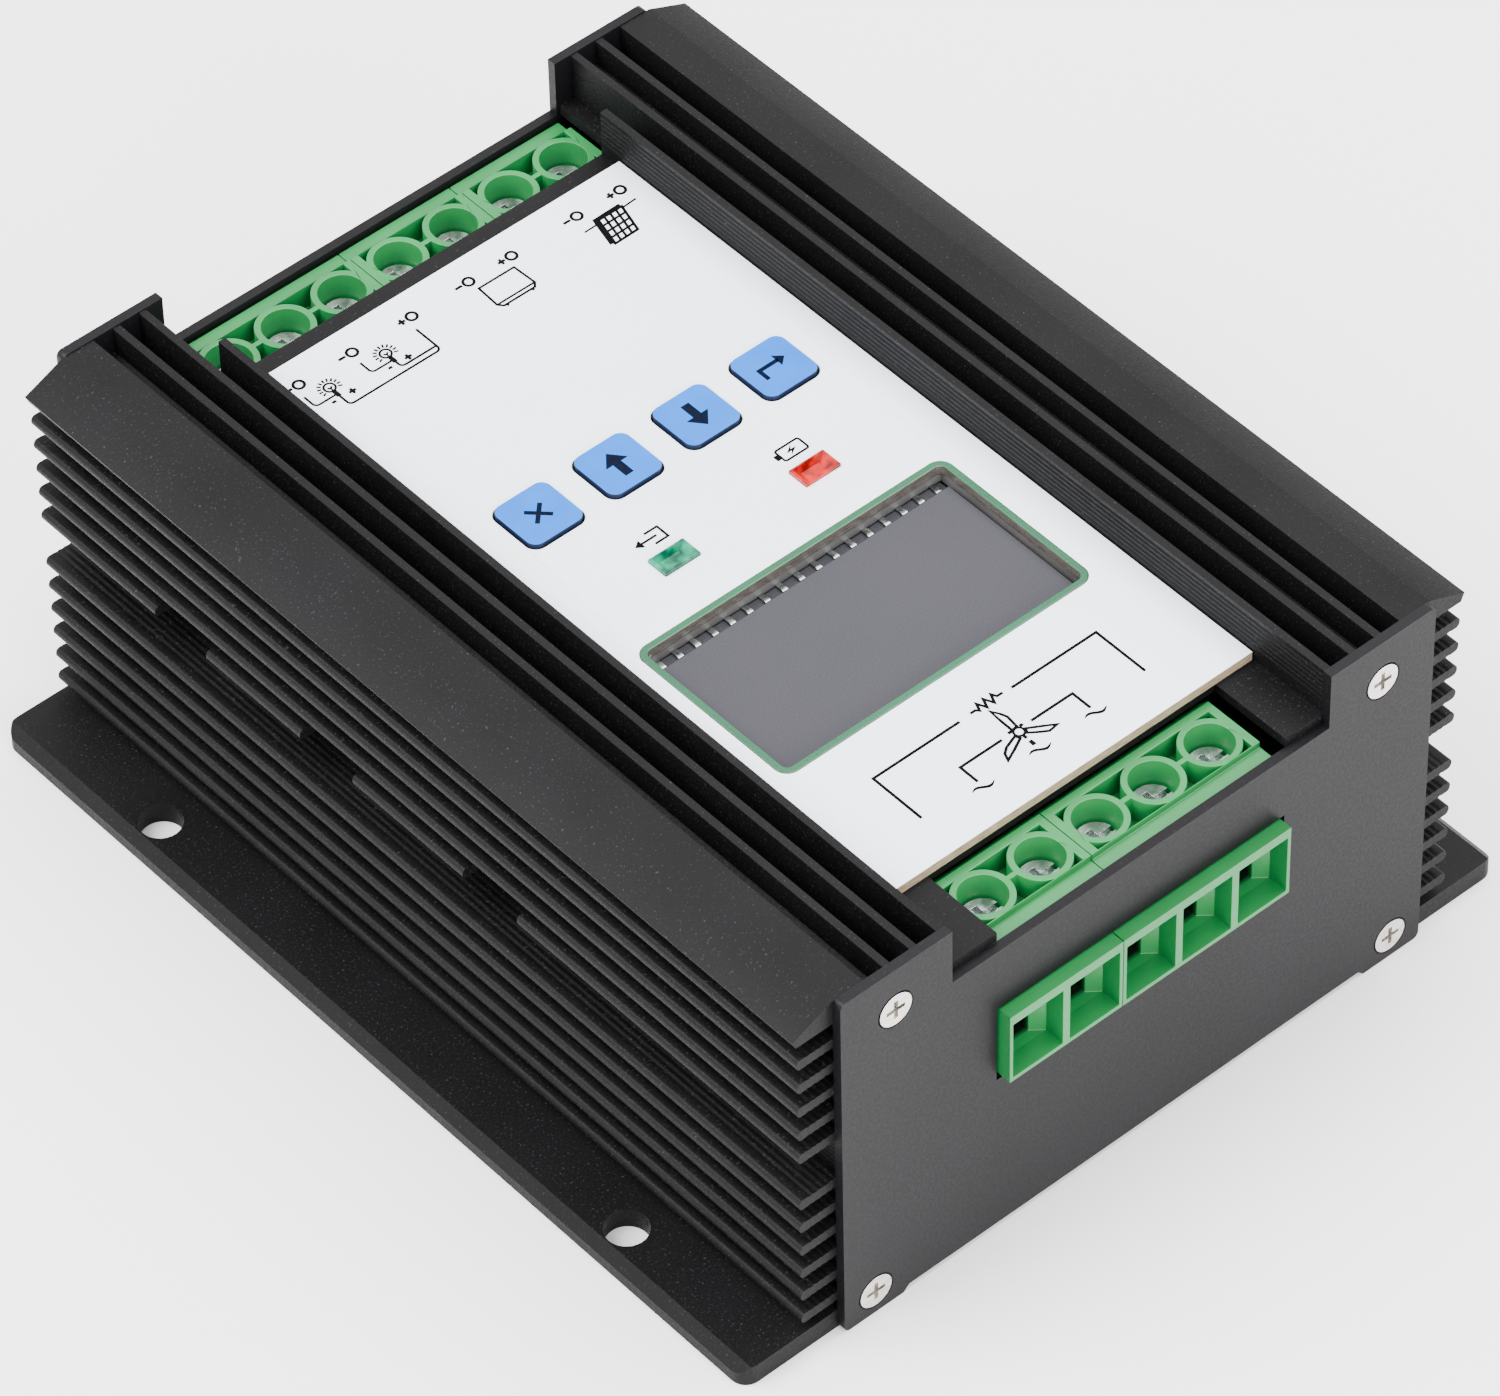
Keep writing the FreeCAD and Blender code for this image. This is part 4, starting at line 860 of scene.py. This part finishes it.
def add_ribbon(bm, points, width_mm, level, closed=False):
    """A flat line of constant width through points in mm, with mitred corners."""
    count = len(points)
    half = width_mm * BOLD / 2
    pairs = []
    for index, (x, y) in enumerate(points):
        before = points[index - 1] if index or closed else None
        after = points[(index + 1) % count] if index < count - 1 or closed else None
        directions = []
        if before:
            directions.append(Vector((x - before[0], y - before[1])).normalized())
        if after:
            directions.append(Vector((after[0] - x, after[1] - y)).normalized())
        mean = sum(directions, Vector((0, 0))).normalized()
        side = Vector((-mean.y, mean.x))
        first_side = Vector((-directions[0].y, directions[0].x))
        reach = half / max(0.4, side.dot(first_side))
        pairs.append(((x + side.x * reach, y + side.y * reach), (x - side.x * reach, y - side.y * reach)))
    rings = []
    for left, right in pairs:
        ring = []
        for z in (level, level + INK_THICK):
            for x, y in (left, right):
                ring.append(bm.verts.new((x * MM, y * MM, z)))
        rings.append((ring[0], ring[1], ring[3], ring[2]))
    spans = count if closed else count - 1
    for index in range(spans):
        here, there = rings[index], rings[(index + 1) % count]
        for corner in range(4):
            other = (corner + 1) % 4
            bm.faces.new((here[corner], here[other], there[other], there[corner]))
    if not closed:
        bm.faces.new(rings[0])
        bm.faces.new(rings[-1])


def add_patch(bm, outline_mm, level):
    add_prism(bm, [(x * MM, y * MM) for x, y in outline_mm], level, level + INK_THICK, upright_place)


def print_piece(name, bm, material=None, body="case"):
    return finish_piece(name, new_mesh(name, bm), material or black_ink, body=body)


def arc_points(x, y, radius, start, end, steps=10):
    points = []
    for step in range(steps + 1):
        angle = math.radians(start + (end - start) * step / steps)
        points.append((x + radius * math.cos(angle), y + radius * math.sin(angle)))
    return points


def alternating_mark(bm, x, y, level):
    """A sine mark for alternating current, swollen in its middle."""
    upper, lower = [], []
    for step in range(21):
        share = step / 20
        along = x - 1.85 + 3.7 * share
        height = y + 0.42 * math.sin(2 * math.pi * share * 0.93) + 0.1
        swell = 0.08 + 0.2 * math.sin(math.pi * share)
        upper.append((along, height + swell))
        lower.append((along, height - swell))
    add_patch(bm, upper + list(reversed(lower)), level)


BLADES = (
    ((-0.06, 57.05), (1.9, 58.05), (3.85, 58.95), (3.36, 57.75), (2.4, 57.05), (0.22, 56.30)),
    ((-1.80, 56.20), (-3.6, 57.30), (-5.40, 58.45), (-3.86, 58.65), (-2.9, 58.05), (-1.36, 56.90)),
    ((-1.15, 55.20), (-1.42, 53.0), (-1.08, 52.05), (-0.38, 50.8), (-0.25, 53.0), (-0.22, 55.20)),
)


def print_wind_diagram(level):
    """The brake load, the turbine and its three phases."""
    bm = bmesh.new()
    rail, phase = 49.45, 55.65
    add_ribbon(bm, [(-20.7, 59.1), (-20.7, rail), (-5.4, rail)], LINE_MM, level)
    add_ribbon(bm, [(3.9, rail), (19.25, rail), (19.25, 59.0)], LINE_MM, level)
    zigzag = [(-3.95, 49.3), (-2.95, 49.3), (-2.55, 48.5), (-1.9, 49.95), (-1.2, 48.45), (-0.6, 49.95)]
    zigzag += [(0.05, 48.5), (0.55, 49.75), (0.95, 49.3), (1.85, 49.3)]
    add_ribbon(bm, zigzag, 0.34, level)
    add_ribbon(bm, [(-10.7, 59.2), (-10.7, phase), (-3.25, phase)], LINE_MM, level)
    add_ribbon(bm, [(1.95, phase), (9.4, phase), (9.4, 59.1)], LINE_MM, level)
    add_ribbon(bm, circle(-0.72, 56.08, 0.78, 24), 0.3, level, closed=True)
    for outline in BLADES:
        add_ribbon(bm, outline, 0.34, level + INK_THICK * 0.1, closed=True)
    add_ribbon(bm, [(-0.7, 58.2), (-0.7, 59.2)], 0.5, level)
    add_ribbon(bm, [(-0.7, 56.9), (-0.7, 57.6)], 0.4, level + INK_THICK * 0.2)
    for x in (-1.75, 0.3):
        add_ribbon(bm, [(x - 0.3, 55.35), (x + 0.3, 55.35)], 0.4, level)
    for x in (-10.7, -0.7, 9.4):
        alternating_mark(bm, x, 60.2, level)
    print_piece("printed_wind_diagram", bm)


def print_solar_icon(level):
    """A tilted panel of cells on two leads."""
    bm = bmesh.new()
    corners = [Vector(corner) for corner in ((-26.5, -51.2), (-22.3, -51.1), (-23.6, -56.3), (-27.9, -56.3))]
    add_ribbon(bm, [tuple(corner) for corner in corners], 0.36, level, closed=True)
    for step in range(1, 4):
        share = step / 4
        left = corners[0].lerp(corners[3], share)
        right = corners[1].lerp(corners[2], share)
        add_ribbon(bm, [tuple(left), tuple(right)], 0.32, level + INK_THICK * 0.1)
        top = corners[0].lerp(corners[1], share)
        bottom = corners[3].lerp(corners[2], share)
        add_ribbon(bm, [tuple(top), tuple(bottom)], 0.32, level + INK_THICK * 0.2)
    thick_edge = [(-21.9, -51.3), (-23.2, -56.55), (-27.9, -56.65)]
    add_ribbon(bm, thick_edge, 0.55, level + INK_THICK * 0.3)
    add_ribbon(bm, [(-30.4, -56.15), (-28.0, -56.0)], 0.26, level)
    add_ribbon(bm, [(-22.8, -55.75), (-20.55, -55.7)], 0.26, level)
    print_piece("printed_solar_icon", bm)


def print_battery_icon(level):
    """A case with a lid and two posts."""
    bm = bmesh.new()
    outline = [(-8.7, -57.0), (-8.9, -52.75), (-8.3, -52.0), (-2.7, -52.0), (-2.07, -52.75), (-2.3, -57.0)]
    add_ribbon(bm, outline, 0.3, level, closed=True)
    add_ribbon(bm, [(-8.9, -52.75), (-2.07, -52.75)], 0.28, level + INK_THICK * 0.1)
    for x in (-7.8, -3.2):
        add_patch(bm, [(x - 0.5, -52.0), (x + 0.5, -52.0), (x, -51.45)], level + INK_THICK * 0.2)
    print_piece("printed_battery_icon", bm)


def bulb(bm, x, level):
    """A lamp hanging from its cap, with eleven rays."""
    y = -55.7
    add_ribbon(bm, circle(x, y, 0.85, 24), 0.28, level, closed=True)
    add_patch(bm, [(x - 0.38, -54.8), (x + 0.38, -54.8), (x + 0.38, -53.5), (x - 0.38, -53.5)], level)
    add_ribbon(bm, [(x, -54.7), (x, -55.5)], 0.22, level + INK_THICK * 0.1)
    add_ribbon(bm, [(x - 0.4, -55.75), (x, -55.45), (x + 0.4, -55.75)], 0.24, level + INK_THICK * 0.2)
    for step in range(11):
        angle = math.radians(-205 + 23 * step)
        inner, outer = 1.2, 1.85
        start = (x + inner * math.cos(angle), y + inner * math.sin(angle))
        end = (x + outer * math.cos(angle), y + outer * math.sin(angle))
        add_ribbon(bm, [start, end], 0.24, level)


def print_load_icons(level):
    """Two lamps fed from one common rail."""
    bm = bmesh.new()
    bulb(bm, 15.6, level)
    bulb(bm, 25.6, level)
    rail = [(9.4, -56.6)] + arc_points(10.1, -51.9, 0.7, 180, 90, 6) + arc_points(24.9, -51.9, 0.7, 90, 0, 6)
    add_ribbon(bm, rail + [(25.6, -53.5)], 0.3, level + INK_THICK * 0.1)
    inner = [(9.5, -52.2)] + arc_points(14.9, -52.9, 0.7, 90, 0, 6) + [(15.6, -53.5)]
    add_ribbon(bm, inner, 0.3, level + INK_THICK * 0.2)
    for x, end in ((16.0, 18.7), (26.0, 28.7)):
        bend = arc_points(end, -54.75, 0.7, 90, 0, 6)
        add_ribbon(bm, [(x, -54.05)] + bend + [(end + 0.7, -56.6)], 0.28, level + INK_THICK * 0.1)
    print_piece("printed_load_icons", bm)


def polarity(bm, x, y, positive, level, size=0.62):
    add_ribbon(bm, [(x - size, y), (x + size, y)], 0.36, level)
    if positive:
        add_ribbon(bm, [(x, y - size), (x, y + size)], 0.36, level + INK_THICK * 0.2)


def print_polarity_marks(level):
    """Beside each terminal, a ring for the terminal and its polarity."""
    bm = bmesh.new()
    marks = (
        (-29.9, True),
        (-21.9, False),
        (-9.9, True),
        (-2.1, False),
        (8.2, True),
        (18.9, False),
        (28.4, False),
    )
    for x, positive in marks:
        add_ribbon(bm, circle(x, -59.0, 0.8, 24), 0.36, level, closed=True)
        polarity(bm, x + 1.8, -59.0, positive, level)
    for x, positive in ((13.7, True), (16.9, False), (23.65, True), (26.9, False)):
        polarity(bm, x, -53.1, positive, level, 0.6 if positive else 0.35)
    print_piece("printed_polarity_marks", bm)


def print_lamp_marks(level):
    """A battery filling up beside the charge lamp, and an arrow leaving a box beside the output lamp."""
    bm = bmesh.new()
    x, y = -13.3, -3.9
    add_ribbon(bm, rounded_outline(x - 2.3, y - 1.2, x + 1.9, y + 1.2, 0.35, 4), 0.28, level, closed=True)
    add_patch(bm, rounded_outline(x + 2.1, y - 0.55, x + 2.7, y + 0.55, 0.15, 3), level)
    bolt = [
        (x + 0.5, y + 0.85),
        (x - 1.1, y - 0.15),
        (x - 0.15, y - 0.15),
        (x - 0.75, y - 0.9),
        (x + 0.8, y + 0.15),
        (x - 0.1, y + 0.15),
    ]
    add_patch(bm, bolt, level)
    x = 12.0
    tray = [(x + 0.1, y + 1.2), (x - 2.2, y + 1.2), (x - 2.2, y - 1.2), (x + 0.1, y - 1.2)]
    add_ribbon(bm, tray, 0.3, level)
    add_ribbon(bm, [(x - 1.1, y), (x + 1.6, y)], 0.3, level)
    add_patch(bm, [(x + 1.5, y + 0.85), (x + 2.7, y), (x + 1.5, y - 0.85)], level)
    print_piece("printed_lamp_marks", bm)


def print_key_icons():
    """A return arrow, two arrows and a cross, each on its own key."""
    for name in ("enter", "up", "down", "escape"):
        low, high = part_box("key_" + name)
        x = (low.x + high.x) / 2 / MM
        y = (low.y + high.y) / 2 / MM
        level = high.z
        bm = bmesh.new()
        if name in ("up", "down"):
            way = 1 if name == "up" else -1
            arrow = [(0, 2.5), (1.9, 0.2), (0.7, 0.2), (0.7, -2.5), (-0.7, -2.5), (-0.7, 0.2), (-1.9, 0.2)]
            add_patch(bm, [(x + a, y + b * way) for a, b in arrow], level)
        elif name == "enter":
            add_ribbon(bm, [(x + 2.2, y + 1.5), (x + 2.2, y - 0.6), (x - 1.2, y - 0.6)], 0.5, level)
            add_patch(bm, [(x - 1.0, y + 0.6), (x - 2.4, y - 0.6), (x - 1.0, y - 1.8)], level)
        else:
            for way in (-1, 1):
                lift = INK_THICK * 0.2 * (way + 1)
                add_ribbon(bm, [(x - 1.4, y - 1.4 * way), (x + 1.4, y + 1.4 * way)], 0.5, level + lift)
        print_piece("key_icon_" + name, bm, navy_ink, "key_" + name)


def print_graphics():
    level = PANEL_TOP
    print_wind_diagram(level)
    print_solar_icon(level)
    print_battery_icon(level)
    print_load_icons(level)
    print_polarity_marks(level)
    print_lamp_marks(level)
    print_key_icons()


print_graphics()


# ---------------------------------------------------------------- stage, light and camera

def make_floor():
    bm = bmesh.new()
    add_prism(bm, [(-3, -3), (3, -3), (3, 3), (-3, 3)], -0.02, -0.0001, upright_place)
    mesh = new_mesh("floor", bm)
    mesh.materials.append(pale_floor())
    floor = bpy.data.objects.new("floor", mesh)
    bpy.context.scene.collection.objects.link(floor)


def aim(item, target):
    direction = Vector(target) - item.location
    item.rotation_euler = direction.to_track_quat("-Z", "Y").to_euler()


def soft_light(name, location, target, size, power):
    light = bpy.data.lights.new(name, "AREA")
    light.shape = "SQUARE"
    light.size = size
    light.energy = power
    item = bpy.data.objects.new(name, light)
    item.location = location
    bpy.context.scene.collection.objects.link(item)
    aim(item, target)


def make_camera():
    data = bpy.data.cameras.new("camera")
    data.sensor_width = 36
    data.lens = 210.8
    data.clip_end = 20
    camera = bpy.data.objects.new("camera", data)
    bpy.context.scene.collection.objects.link(camera)
    position = Vector((0.5411, 0.6426, 0.9031))
    target = Vector((0.0040, 0.0067, 0.0300))
    roll = math.radians(-1.435)
    backward = (position - target).normalized()
    level_right = Vector((0, 0, 1)).cross(backward).normalized()
    level_up = backward.cross(level_right)
    right = level_right * math.cos(roll) + level_up * math.sin(roll)
    up = backward.cross(right)
    turn = Matrix((right, up, backward)).transposed()
    camera.matrix_world = Matrix.Translation(position) @ turn.to_4x4()
    bpy.context.scene.camera = camera


make_floor()
world = bpy.data.worlds.new("studio")
world.use_nodes = True
background = world.node_tree.nodes["Background"]
background.inputs["Color"].default_value = (1.0, 1.0, 1.0, 1)
background.inputs["Strength"].default_value = 2.2
bpy.context.scene.world = world
soft_light("key_light", (0.9, -0.5, 1.3), (0, 0, 0.03), 1.0, 50)
soft_light("front_light", (0.2, 1.5, 0.7), (0, 0, 0.03), 1.0, 42)
soft_light("top_light", (-0.5, 0.0, 1.6), (0, 0, 0.05), 1.2, 40)
make_camera()
